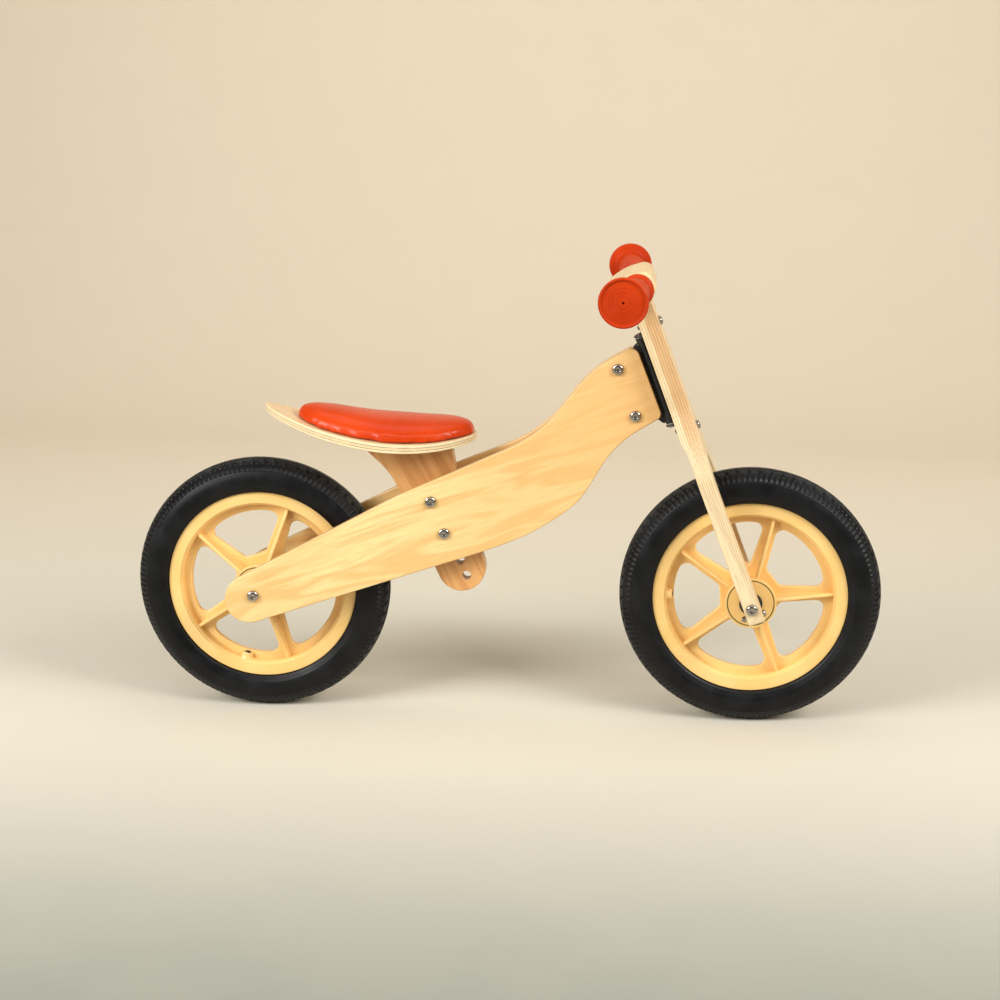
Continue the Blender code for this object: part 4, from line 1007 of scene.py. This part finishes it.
def groove_depth(section, turn):
    """Depth of the tread in millimetres, at degrees round the tyre's section and a turn of the wheel."""
    across = abs(section)
    mirror = 0.5 if section > 0 else 0.0
    phase = (turn * NOTCHES / (2 * math.pi) + mirror) % 1.0
    zigzag = abs(phase - 0.5) * 2
    centre_line = 10.0 + 5.0 * zigzag
    depth = 1.3 * (1 - step_in(abs(across - centre_line), 1.4, 2.6))
    slanted = (phase + (across - 20.0) / 110.0) % 1.0
    in_blocks = step_in(across, 17.0, 20.0) * (1 - step_in(across, 33.0, 36.0))
    depth = max(depth, 1.6 * in_blocks * (1 - step_in(abs(slanted - 0.5), 0.09, 0.17)))
    fine = (2 * phase) % 1.0
    in_shoulder = step_in(across, 36.0, 38.0) * (1 - step_in(across, 60.0, 62.0))
    depth = max(depth, 1.0 * in_shoulder * (1 - step_in(abs(fine - 0.5), 0.14, 0.25)))
    for line, rise in WALL_LINES:
        depth += rise * (1 - step_in(abs(across - line), 0.5, 1.6))
    return depth


def tyre_mesh():
    """An air tyre with a cut tread, fine shoulder ribs, moulded lines on its walls and beads in the rim."""
    turns = NOTCHES * 10
    tread = [-62.0 + 2.0 * k for k in range(63)]
    sections = [-angle for angle in reversed(WALL_ANGLES)] + tread + WALL_ANGLES
    inside = mirrored([
        (RIM_RADIUS + 0.5, 13.6, 0.0),
        (99.6, 11.2, 0.0),
        (TYRE_MIDDLE - 21.5, 9.3, 0.0),
        (TYRE_MIDDLE - 9.0, 17.5, 0.0),
        (TYRE_MIDDLE + 6.0, 19.0, 0.0),
        (TYRE_MIDDLE + 17.5, 8.0, 0.0),
    ])
    bm = bmesh.new()
    wear = bm.verts.layers.float.new("wear")
    rows = []
    for step in range(turns):
        turn = 2 * math.pi * step / turns
        ring = []
        for section in sections:
            angle = math.radians(section)
            depth = groove_depth(section, turn)
            reach = TYRE_SECTION - max(0.0, depth) - min(0.0, depth) * 0.6
            squareness = 1.0 + 0.012 * math.sin(2 * angle) ** 2
            radius = TYRE_MIDDLE + reach * math.cos(angle) * squareness
            side = reach * math.sin(angle)
            worn = 1.0 if abs(section) < 34 and depth < 0.3 else 0.0
            ring.append((min(radius, TYRE_MIDDLE + TYRE_SECTION), side, worn))
        row = []
        for radius, side, worn in ring + inside:
            point = bm.verts.new((radius * math.sin(turn), side, -radius * math.cos(turn)))
            point[wear] = worn
            row.append(point)
        rows.append(row)
    stitched(bm, rows, closed=True)
    return bm


SPOKE_HALF_WIDTH_INNER = 9.6
SPOKE_HALF_WIDTH_OUTER = 7.6
WINDOW_INNER = 36.0
WINDOW_OUTER = 86.0


def polar(radius, angle):
    """A flat point at an angle and a distance from the middle."""
    return Vector((radius * math.cos(angle), radius * math.sin(angle)))


def window(index):
    """Outline of the opening between two spokes."""
    middle = 2 * math.pi * (index + 0.5) / SPOKES
    half_sector = math.pi / SPOKES
    edge_inner = half_sector - math.asin(SPOKE_HALF_WIDTH_INNER / WINDOW_INNER)
    edge_outer = half_sector - math.asin(SPOKE_HALF_WIDTH_OUTER / WINDOW_OUTER)
    corners = [
        (*polar(WINDOW_INNER, middle - edge_inner), 7.0),
        (*polar(WINDOW_OUTER, middle - edge_outer), 9.0),
    ]
    for k in range(1, 12):
        part = -0.75 + 1.5 * k / 12
        corners.append((*polar(WINDOW_OUTER, middle + part * edge_outer), 0.0))
    corners += [
        (*polar(WINDOW_OUTER, middle + edge_outer), 9.0),
        (*polar(WINDOW_INNER, middle + edge_inner), 7.0),
    ]
    return rounded(corners)


def mirrored(half):
    """Half a turned profile and its mirror image across the middle plane."""
    return half + [(radius, -along, *rest) for radius, along, *rest in reversed(half)]


def rib(index):
    """The tapering rib along one spoke, from the hub's flanges to the rim, with a rounded crest."""
    outline = [
        (20.6, -29.3, 0.0),
        (27.0, -28.7, 3.0),
        (95.9, -10.8, 0.0),
        (95.9, 10.8, 0.0),
        (27.0, 28.7, 3.0),
        (20.6, 29.3, 0.0),
    ]
    bm = board(rounded(outline), [], 3.8, 1.3, lambda u, v, depth: (u, v, depth - 1.9))
    return moved(bm, Matrix.Rotation(-2 * math.pi * index / SPOKES, 4, "Y"))


def build_wheel(prefix):
    """The moulded wheel, its tyre, tube, valve and bearings."""
    home, spoke_angle, valve_angle = WHEELS[prefix]
    rim = mirrored([(RIM_RADIUS, -RIM_HALF_WIDTH, 0.5), (RIM_RADIUS, -14.0, 0.5), (98.5, -11.5, 2.0)])
    rim += mirrored([(97.2, RIM_HALF_WIDTH, 0.5), (96.9, 14.6, 0.4), (95.6, 14.2, 0.4), (94.3, 11.8, 1.0)])
    holes = [window(index) for index in range(SPOKES)] + [circle((0, 0), 15.0)]
    web = board(circle((0, 0), 96.2, 144), holes, 7.0, 1.0, across_middle(3.5), hole_edge=1.6)
    seat = HUB_HALF_WIDTH - BEARING_WIDTH - GAP
    hub = mirrored([
        (BEARING_RADIUS + GAP, -HUB_HALF_WIDTH, 0.5),
        (HUB_GROOVE - 0.7, -HUB_HALF_WIDTH, 0.2),
        (HUB_GROOVE - 0.5, 0.9 - HUB_HALF_WIDTH, 0.2),
        (HUB_GROOVE + 0.5, 0.9 - HUB_HALF_WIDTH, 0.2),
        (HUB_GROOVE + 0.7, -HUB_HALF_WIDTH, 0.2),
        (HUB_RADIUS, -HUB_HALF_WIDTH, 1.0),
        (HUB_RADIUS, 4.5 - HUB_HALF_WIDTH, 1.0),
        (24.0, 7.5 - HUB_HALF_WIDTH, 2.5),
        (22.0, -8.0, 4.0),
    ])
    hub += mirrored([(BEARING_RADIUS + GAP, seat, 0.3), (BEARING_RADIUS - 2.5, seat, 0.3)])
    dimple = [(0.0, 3.3, 0), (1.5, 3.3, 0.1), (1.6, 3.75, 0.1), (2.2, 3.75, 0.1), (2.3, 3.2, 0)]
    dimples = []
    for index in range(SPOKES):
        for side in (-1, 1):
            at = polar(88.5, 2 * math.pi * index / SPOKES + side * 0.075)
            mark = turned([(radius, side * along) for radius, along in soft_profile(dimple, False)], 20)
            dimples.append(at_point(mark, at.x, 0, at.y))
    ribs = [rib(index) for index in range(SPOKES)]
    star = joined([web, turned(soft_profile(hub), SMOOTH, closed=True), *ribs, *dimples])
    moved(star, Matrix.Rotation(-math.radians(spoke_angle), 4, "Y"))
    valve_turn = math.radians(valve_angle)
    foot = Vector((math.cos(valve_turn), 0.0, math.sin(valve_turn)))
    boss = turned(
        soft_profile([
            (BOSS_WELL_RADIUS, 0.0, 0.5),
            (BOSS_RADIUS - 0.3, 0.0, 1.0),
            (BOSS_RADIUS, -4.0, 2.0),
            (BOSS_RADIUS + 1.6, -7.4, 0.0),
            (BOSS_WELL_RADIUS, -7.4, 0.0),
        ]),
        SMALL,
        closed=True,
    )
    moved(boss, onto(-foot, foot * BOSS_TOP + Vector((0, VALVE_OFFSET, 0))))
    whole = joined([star, turned(soft_profile(rim), 160, closed=True), boss])
    piece(f"{prefix}_wheel", whole, WHEEL_PLASTIC[prefix], home)
    piece(f"{prefix}_tyre", tyre_mesh(), TYRE_RUBBER, home, sharp=50.0)
    build_valve(prefix, home, foot)
    outer, inner = HUB_HALF_WIDTH - GAP, HUB_HALF_WIDTH - BEARING_WIDTH
    for name, side in SIDES:
        profile = [
            (AXLE_BORE, inner, 0.3),
            (BEARING_RADIUS, inner, 0.4),
            (BEARING_RADIUS, outer, 0.4),
            (9.3, outer, 0.1),
            (9.1, outer - 0.5, 0.1),
            (6.4, outer - 0.5, 0.1),
            (6.2, outer, 0.1),
            (AXLE_BORE, outer, 0.3),
        ]
        piece(f"{prefix}_bearing_{name}", one_side(profile, side), ZINC, home)
    sleeve = mirrored([(AXLE_BORE, -seat, 0.2), (AXLE_BORE + 1.6, -seat, 0.3)])
    piece(f"{prefix}_bearing_sleeve", one_side(sleeve, 1), ZINC, home)


def build_valve(prefix, home, foot):
    """The inner tube with its threaded stem, and the ribbed cap on it."""
    angles = [2 * math.pi * k / 16 for k in range(16)]
    section = [(TUBE_MIDDLE + TUBE_SECTION * math.cos(a), TUBE_SECTION * math.sin(a)) for a in angles]
    tube = turned(section, 96, closed=True)
    stem_line = [(0.0, 0.0), (STEM_RADIUS - 0.3, 0.0)] + threaded(STEM_RADIUS, 0.3, 20.0, 0.7) + [(0.0, 26.0)]
    stem = moved(turned(stem_line, FINE), onto(foot, foot * VALVE_FOOT + Vector((0, VALVE_OFFSET, 0))))
    piece(f"{prefix}_inner_tube", joined([tube, stem]), TUBE_RUBBER, home)
    cap_line = soft_profile(
        [(0.0, 0.0, 0), (2.1, 0.0, 0.6), (2.6, 1.2, 0.4), (2.6, CAP_LENGTH, 0.3), (0.0, CAP_LENGTH, 0)],
        closed=False,
    )
    cap = turned(cap_line, 48)
    for point in cap.verts:
        if 1.0 < point.co.y < 3.4:
            angle = math.atan2(point.co.z, point.co.x)
            ribbed = 1.0 + 0.05 * math.cos(12 * angle)
            point.co.x *= ribbed
            point.co.z *= ribbed
    moved(cap, onto(foot, foot * (VALVE_FOOT - GAP - CAP_LENGTH) + Vector((0, VALVE_OFFSET, 0))))
    piece(f"{prefix}_valve_cap", cap, BLACK_PLASTIC, home)


def build_rear_axle():
    """The rear axle bolt, its nut and the two black spacers that meet the splayed sides."""
    cross_bolt("rear_axle", (0.0, AXLE_HEIGHT), panel_outer(0.0) + GAP, FRAME, AXLE_RADIUS, panel_slope(0.0))
    start = HUB_HALF_WIDTH + 2 * GAP
    face = panel_outer(0.0) - PANEL_THICKNESS - GAP
    bore = AXLE_RADIUS + 1.8
    profile = [
        (bore, start, 0.2),
        (9.0, start, 0.4),
        (13.0, start + 2.5, 0.6),
        (13.0, face, 0.5),
        (bore, face, 0.2),
    ]
    for name, side in SIDES:
        bm = one_side(profile, side)
        for point in bm.verts:
            share = (abs(point.co.y) - start) / (face - start)
            point.co.y += side * max(0.0, share) * panel_slope(0.0) * point.co.x
        piece(f"rear_spacer_{name}", at_point(bm, 0, 0, AXLE_HEIGHT), BLACK_PLASTIC, FRAME)


# ---------------------------------------------------------------- fork

LEAF_REAR = 6.85
LEAF_THICKNESS = 2.2
LEAF_HALF_WIDTH = 14.0
LEAF_BOTTOM = 197.0
LEAF_TOP = 340.0
FORK_FRONT = 26.0
FORK_REAR_UPPER = 4.0
FORK_REAR_LOWER = 7.3
FORK_STEP_HEIGHTS = (186.0, 200.0)
FORK_TOP = 366.5
FORK_BOTTOM = -17.5
BLADE_OUTER = 65.0
BLADE_INNER = 41.5
FORK_BOLT_HEIGHTS = {"lower": 206.5, "upper": 331.5}
BLADE_BOLT_HEIGHT = -11.0
BLADE_BOLT_SIDE = 53.0


def fork_rear(height):
    """The fork's rear face, which steps in above the blades."""
    low, high = FORK_STEP_HEIGHTS
    return FORK_REAR_LOWER + (FORK_REAR_UPPER - FORK_REAR_LOWER) * step_in(height, low, high)


def build_fork_board():
    """The laminated fork: one board, slotted for the wheel and narrow at the head."""
    arch = 128.0
    outline = [(-BLADE_OUTER, FORK_BOTTOM, 2.0), (-BLADE_INNER, FORK_BOTTOM, 2.0)]
    for step in range(25):
        point = polar(BLADE_INNER, math.pi * (1 - step / 24))
        outline.append((point.x, arch + point.y, 0.0))
    outline += [
        (BLADE_INNER, FORK_BOTTOM, 2.0),
        (BLADE_OUTER, FORK_BOTTOM, 2.0),
        (BLADE_OUTER, 158.0, 30.0),
        (33.0, 232.0, 40.0),
        (29.0, FORK_TOP, 3.0),
        (-29.0, FORK_TOP, 3.0),
        (-33.0, 232.0, 40.0),
        (-BLADE_OUTER, 158.0, 30.0),
    ]
    holes = [circle((0.0, height), 2.8, FINE) for height in FORK_BOLT_HEIGHTS.values()]
    holes += [circle((side * BLADE_BOLT_SIDE, BLADE_BOLT_HEIGHT), 2.3, FINE) for side in (-1, 1)]
    thickness = FORK_FRONT - FORK_REAR_UPPER

    def place(u, v, depth):
        if depth > thickness / 2:
            return FORK_FRONT - (thickness - depth), u, v
        return fork_rear(v) + depth, u, v

    cuts = [(1, FORK_STEP_HEIGHTS[0] + 2.0 * k) for k in range(8)]
    bm = board(rounded(outline), holes, thickness, 1.3, place, cuts)
    fork = piece("fork", bm, FORK_PLY, FORK)
    recess = bmesh.new()
    bmesh.ops.create_cube(recess, size=1.0)
    low = Vector((-10.0, -LEAF_HALF_WIDTH - GAP, LEAF_BOTTOM - GAP))
    high = Vector((LEAF_REAR + LEAF_THICKNESS + GAP, LEAF_HALF_WIDTH + GAP, LEAF_TOP + GAP))
    size = Matrix.Diagonal((*(high - low), 1.0))
    cut_from(fork, "fork_recess", moved(recess, Matrix.Translation((low + high) / 2) @ size))
    bores = turned([(0.0, -90.0), (6.2, -90.0), (6.2, 90.0), (0.0, 90.0)], SMALL)
    cut_from(fork, "fork_bore", at_point(bores, AXIS_TO_AXLE, 0, 0))
    fork.data.shade_smooth()
    fork.data.set_sharp_from_angle(angle=math.radians(SHARP_ANGLE))


def cut_from(target, name, bm):
    """Cuts a bmesh, in millimetres from the head's datum, out of an object for good."""
    cutter = linked(name, bm, HEAD)
    boolean = target.modifiers.new(name, "BOOLEAN")
    boolean.object = cutter
    boolean.operation = "DIFFERENCE"
    boolean.solver = "EXACT"
    evaluated(target)
    bpy.data.objects.remove(cutter)


EAR_CLEARANCE = 1.2
EAR_THICKNESS = 2.5


def build_steering_bracket():
    """The plated bracket: a leaf let into the fork, and an ear above and below the steering tube."""
    leaf_outline = [
        (-LEAF_HALF_WIDTH, LEAF_BOTTOM, 4.0),
        (LEAF_HALF_WIDTH, LEAF_BOTTOM, 4.0),
        (LEAF_HALF_WIDTH, LEAF_TOP, 4.0),
        (-LEAF_HALF_WIDTH, LEAF_TOP, 4.0),
    ]
    ear_front = LEAF_REAR + 1.0
    ear_outline = [(-7.0, -7.0, 6.9), (ear_front, -7.0, 0.0), (ear_front, 7.0, 0.0), (-7.0, 7.0, 6.9)]

    def behind_fork(u, v, depth):
        return LEAF_REAR + depth, u, v

    holes = [circle((0.0, height), 2.8, FINE) for height in FORK_BOLT_HEIGHTS.values()]
    parts = [board(rounded(leaf_outline), holes, LEAF_THICKNESS, 0.5, behind_fork, hole_edge=0.3)]
    for low in (TUBE_TOP + EAR_CLEARANCE, TUBE_BOTTOM - EAR_CLEARANCE - EAR_THICKNESS):

        def level(u, v, depth, low=low):
            return u, v, low + depth

        hole = [circle((0, 0), PIN_RADIUS + 0.2, FINE)]
        parts.append(board(rounded(ear_outline), hole, EAR_THICKNESS, 0.6, level, hole_edge=0.2))
    piece("steering_bracket", joined(parts), DARK_ZINC, FORK)
    top = TUBE_TOP + EAR_CLEARANCE + EAR_THICKNESS + GAP
    bottom = TUBE_BOTTOM - EAR_CLEARANCE - EAR_THICKNESS - GAP
    pin = [(0.0, top + 1.5), (1.6, top + 1.45), (3.2, top + 1.25)]
    pin += [(4.4, top + 0.8), (4.95, top + 0.3), (4.9, top)]
    pin += [(PIN_RADIUS, top - 0.1), (PIN_RADIUS, bottom + 0.1), (4.8, bottom), (4.75, bottom - 0.7)]
    pin += [(4.3, bottom - 1.3), (3.2, bottom - 1.5), (1.6, bottom - 1.1), (0.0, bottom - 1.0)]
    piece("steering_pin", moved(turned(pin, SMALL), UPRIGHT), CHROME, FORK)


def through_bolt(name, side, height, shank, head_radius, nut_face):
    """A socket-head bolt from the fork's front to its rear face, and the hexagon nut on it."""
    seat = FORK_FRONT + GAP
    nut_length = 4.6
    tip = nut_face - nut_length - 1.6 - seat
    socket = shank * 0.62
    line = [(0.0, 1.2), (socket, 1.4, 6), (socket, 3.0, 6), (socket + 0.4, 3.2)]
    start = socket + 0.7
    for k in range(7):
        a = math.pi / 2 * k / 6
        line.append((start + (head_radius - start) * math.sin(a), 0.9 + 2.3 * math.cos(a)))
    line += [(head_radius, 0.3), (head_radius - 0.2, 0.0), (shank, -0.1), (shank, tip + 9.0)]
    line += threaded(shank, tip + 8.0, tip + 0.5, 0.8) + [(shank - 0.6, tip), (0.0, tip)]
    piece(f"{name}_bolt", at_point(moved(turned(line, SMALL), FORWARD), seat, side, height), CHROME, FORK)
    flat = head_radius * 0.88 * math.cos(math.pi / 6)
    chamfer = flat * 1.02
    nut = [
        (shank + GAP, 0.3),
        (shank + GAP + 0.4, 0.0),
        (chamfer, 0.0),
        (flat, 0.55, 6),
        (flat, nut_length - 0.55, 6),
        (chamfer, nut_length),
        (shank + GAP + 0.4, nut_length),
        (shank + GAP, nut_length - 0.3),
    ]
    bm = moved(turned(nut, SMALL, closed=True), FORWARD)
    piece(f"{name}_nut", at_point(bm, nut_face - nut_length, side, height), CHROME, FORK)


BAR_BLOCK_HALF = 58.0
BAR_RADIUS = 11.0
BAR_INNER = Vector((17.75, 60.0, 377.0))
BAR_OUTER = Vector((6.75, 200.0, 384.0))
GRIP_DISC_RADIUS = 25.7
GRIP_COLLAR_RADIUS = 18.0
GRIP_BODY_RADIUS = 14.8


def bar_frame(side):
    """The start, the direction and the length of the round bar on one side."""
    start = Vector((BAR_INNER.x, side * BAR_INNER.y, BAR_INNER.z))
    end = Vector((BAR_OUTER.x, side * BAR_OUTER.y, BAR_OUTER.z))
    return start, (end - start).normalized(), (end - start).length


def build_handlebar():
    """The crowned wooden block and its two round bars."""
    section = [
        (-14.0, FORK_TOP + GAP, 7.0),
        (37.5, FORK_TOP + GAP, 7.0),
        (37.4, 393.2, 11.0),
        (8.0, 396.0, 60.0),
        (-16.0, 388.5, 6.0),
    ]
    parts = [board(rounded(section), [], 2 * BAR_BLOCK_HALF, 4.5, across_middle(BAR_BLOCK_HALF))]
    for side in (-1, 1):
        start, direction, length = bar_frame(side)
        tip = length - 7.0
        profile = [(0.0, -12.0, 0), (BAR_RADIUS, -12.0, 1.0), (BAR_RADIUS, tip, 2.0), (0.0, tip, 0)]
        parts.append(moved(turned(soft_profile(profile, closed=False), SMOOTH), onto(direction, start)))
    piece("handlebar", joined(parts), BAR_WOOD, FORK)


def build_grip(name, side):
    """A rubber grip: a collar, a ringed body, and a safety disc with rings pressed into its face."""
    start, direction, length = bar_frame(side)
    bore = BAR_RADIUS + 0.2
    line = [
        (bore, 0.3, 0.0),
        (GRIP_COLLAR_RADIUS, 0.3, 1.6),
        (GRIP_COLLAR_RADIUS, 8.0, 2.2),
        (GRIP_BODY_RADIUS, 11.5, 2.0),
    ]
    body_start, body_end = 15.0, length - 18.0
    rings = 26
    pitch = (body_end - body_start) / rings
    for k in range(rings):
        at = body_start + (body_end - body_start) * k / rings
        swell = 0.8 * math.sin(math.pi * k / rings)
        for share, sunk in ((0.0, 0.0), (0.52, 0.0), (0.66, 0.45), (0.86, 0.45)):
            line.append((GRIP_BODY_RADIUS + swell - sunk, at + share * pitch, 0.0))
    line += [
        (GRIP_BODY_RADIUS, length - 14.5, 2.0),
        (GRIP_BODY_RADIUS + 2.5, length - 9.0, 3.0),
        (GRIP_DISC_RADIUS - 1.2, length - 7.6, 0.6),
        (GRIP_DISC_RADIUS, length - 5.8, 1.2),
        (GRIP_DISC_RADIUS, length - 1.6, 1.2),
        (GRIP_DISC_RADIUS - 1.2, length - 0.4, 0.8),
        (GRIP_DISC_RADIUS - 2.8, length - 0.8, 0.6),
        (GRIP_DISC_RADIUS - 3.4, length - 2.4, 0.6),
    ]
    for ring in (14.0, 10.2, 6.0):
        crown = 0.03 * (22 - ring)
        line.append((ring + 0.9, length - 2.2 + crown, 0.2))
        line.append((ring + 0.45, length - 2.6 + crown, 0.15))
        line.append((ring, length - 2.2 + crown, 0.2))
    line += [
        (2.6, length - 1.5, 0.3),
        (1.3, length - 1.6, 0.2),
        (1.3, length - 5.5, 0.0),
        (bore, length - 5.5, 0.0),
    ]
    bm = moved(turned(soft_profile(line), 96, closed=True), onto(direction, start))
    piece(name, bm, GRIP_RUBBER, FORK, sharp=30.0)


def build_dowels():
    """Fluted dowels that pin the handlebar to the fork."""
    profile = [(0.0, -18.0, 0), (3.9, -18.0, 1.0), (3.9, 18.0, 1.0), (0.0, 18.0, 0)]
    for name, side in SIDES:
        bm = turned(soft_profile(profile, closed=False), 48)
        for point in bm.verts:
            angle = math.atan2(point.co.z, point.co.x)
            flute = 1.0 - 0.035 * (0.5 + 0.5 * math.cos(12 * angle))
            point.co.x *= flute
            point.co.z *= flute
        at_point(moved(bm, UPRIGHT), 15.0, side * 14.0, FORK_TOP)
        piece(f"handlebar_dowel_{name}", bm, TURNED_WOOD, FORK)


def build_front_axle():
    """The front axle bolt, its nut and the thin spacers beside the blades."""
    reach = BLADE_OUTER + GAP
    cross_bolt("front_axle", (AXIS_TO_AXLE, 0.0), reach, FORK, AXLE_RADIUS)
    start, end = HUB_HALF_WIDTH + 2 * GAP, BLADE_INNER - GAP
    profile = [
        (AXLE_BORE, start, 0.2),
        (9.0, start, 0.2),
        (13.0, start + 1.2, 0.3),
        (13.0, end, 0.3),
        (AXLE_BORE, end, 0.2),
    ]
    for name, side in SIDES:
        piece(f"front_spacer_{name}", one_side(profile, side), BLACK_PLASTIC, FORK_AXLE)


build_panels()
build_head_bracket()
build_post()
build_seat_board()
build_seat_spacers()
build_seat_screws()
build_cushion()
for bolt_name, bolt_at in FRAME_BOLTS.items():
    cross_bolt(bolt_name, bolt_at, panel_outer(bolt_at[0]) + GAP, FRAME, slope=panel_slope(bolt_at[0]))
build_rear_axle()
build_wheel("rear")
build_fork_board()
build_steering_bracket()
for place_name, bolt_height in FORK_BOLT_HEIGHTS.items():
    through_bolt(f"fork_{place_name}", 0.0, bolt_height, 2.5, 5.2, LEAF_REAR - GAP)
for side_name, side_sign in SIDES:
    blade_side = side_sign * BLADE_BOLT_SIDE
    through_bolt(f"blade_{side_name}", blade_side, BLADE_BOLT_HEIGHT, 2.0, 4.2, FORK_REAR_LOWER - GAP)
build_handlebar()
for side_name, side_sign in SIDES:
    build_grip(f"grip_{side_name}", side_sign)
build_dowels()
build_front_axle()
build_wheel("front")

# ---------------------------------------------------------------- studio


def build_backdrop():
    """A pale sweep: a floor that curves up into a wall, with painted shade that greys the floor towards the
    camera and painted light that makes it lighter and warmer further back and up the wall.
    """
    front, bend, radius, top, half_width = -3.5, 1.6, 1.2, 5.0, 7.0
    line = [(front, 0.0), (front / 2, 0.0), (0.0, 0.0), (bend, 0.0)]
    for step in range(1, 17):
        angle = math.pi / 2 * step / 16
        line.append((bend + radius * math.sin(angle), radius * (1 - math.cos(angle))))
    line.append((bend + radius, top))
    bm = bmesh.new()
    rows = [[bm.verts.new((x, y, z)) for x in (-half_width, half_width)] for y, z in line]
    for row, following in zip(rows, rows[1:]):
        bm.faces.new((row[0], row[1], following[1], following[0]))
    finish = Finish("backdrop_paper", Roughness=0.85, Specular_IOR_Level=0.2)
    depth = finish.along(finish.place, (0, 1, 0))
    # Painted shade greys the floor towards the camera; painted light makes the sweep lighter and warmer
    # further back and up the wall.
    tone = finish.mix(finish.span(depth, -0.85, -0.05), (0.27, 0.28, 0.24), (0.69, 0.655, 0.55))
    tone = finish.mix(finish.span(depth, 0.2, 1.6), tone, (0.84, 0.735, 0.575))
    fibre = finish.noise(finish.place, scale=9.0, detail=4.0)
    tone = finish.mix(finish.span(fibre, 0.3, 0.7, 0.0, 0.05), tone, (0.7, 0.6, 0.48))
    surface = finish.wire(Base_Color=tone)
    mesh = bpy.data.meshes.new("backdrop")
    bm.to_mesh(mesh)
    bm.free()
    mesh.materials.append(surface)
    mesh.shade_smooth()
    backdrop = bpy.data.objects.new("backdrop", mesh)
    bpy.context.scene.collection.objects.link(backdrop)


def softbox(name, location, target, size, power, colour):
    """A square area light that faces a point."""
    lamp = bpy.data.lights.new(name, "AREA")
    lamp.shape = "RECTANGLE"
    lamp.size, lamp.size_y = size
    lamp.energy = power
    lamp.color = colour
    holder = bpy.data.objects.new(name, lamp)
    holder.location = location
    holder.rotation_euler = (Vector(target) - Vector(location)).to_track_quat("-Z", "Y").to_euler()
    bpy.context.scene.collection.objects.link(holder)


WORLD_COLOUR = (1.0, 0.95, 0.88, 1.0)
WORLD_STRENGTH = 0.16
LENS = 64.33
SENSOR_WIDTH = 36.0
CAMERA_PLACE = (0.1705, -1.9867, 0.7172)
CAMERA_RIGHT = Vector((0.996, 0.0889, 0.0031))
CAMERA_UP = Vector((-0.0232, 0.2258, 0.9739))


def build_camera():
    """The photograph's view."""
    camera = bpy.data.cameras.new("camera")
    camera.lens = LENS
    camera.sensor_width = SENSOR_WIDTH
    holder = bpy.data.objects.new("camera", camera)
    bpy.context.scene.collection.objects.link(holder)
    back = CAMERA_RIGHT.cross(CAMERA_UP).normalized()
    up = back.cross(CAMERA_RIGHT).normalized()
    turn = Matrix((CAMERA_RIGHT.normalized(), up, back)).transposed()
    holder.matrix_world = Matrix.Translation(CAMERA_PLACE) @ turn.to_4x4()
    bpy.context.scene.camera = holder


def build_studio():
    """Two soft front lights, a long narrow one, an overhead one, one for the wall, and a warm world."""
    build_backdrop()
    softbox("left_softbox", (-2.0, -1.8, 1.55), (0, 0, 0.25), (1.5, 1.3), 80.0, (1.0, 0.985, 0.96))
    softbox("right_softbox", (2.1, -1.3, 1.8), (0, 0, 0.25), (1.3, 1.1), 64.0, (1.0, 0.98, 0.95))
    softbox("strip_light", (0.1, -1.7, 2.3), (0, 0, 0.3), (2.6, 0.2), 14.0, (1.0, 0.985, 0.96))
    softbox("top_softbox", (0.0, 0.4, 3.0), (0, 0.1, 0.2), (2.0, 1.6), 9.0, (1.0, 0.99, 0.97))
    softbox("wall_light", (0.0, 0.6, 2.2), (0, 2.8, 1.0), (3.0, 1.0), 12.0, (1.0, 0.96, 0.9))
    world = bpy.data.worlds.new("studio")
    bpy.context.scene.world = world
    world.use_nodes = True
    background = world.node_tree.nodes["Background"]
    background.inputs["Color"].default_value = WORLD_COLOUR
    background.inputs["Strength"].default_value = WORLD_STRENGTH
    bpy.context.scene.view_settings.view_transform = "Standard"


build_studio()
build_camera()
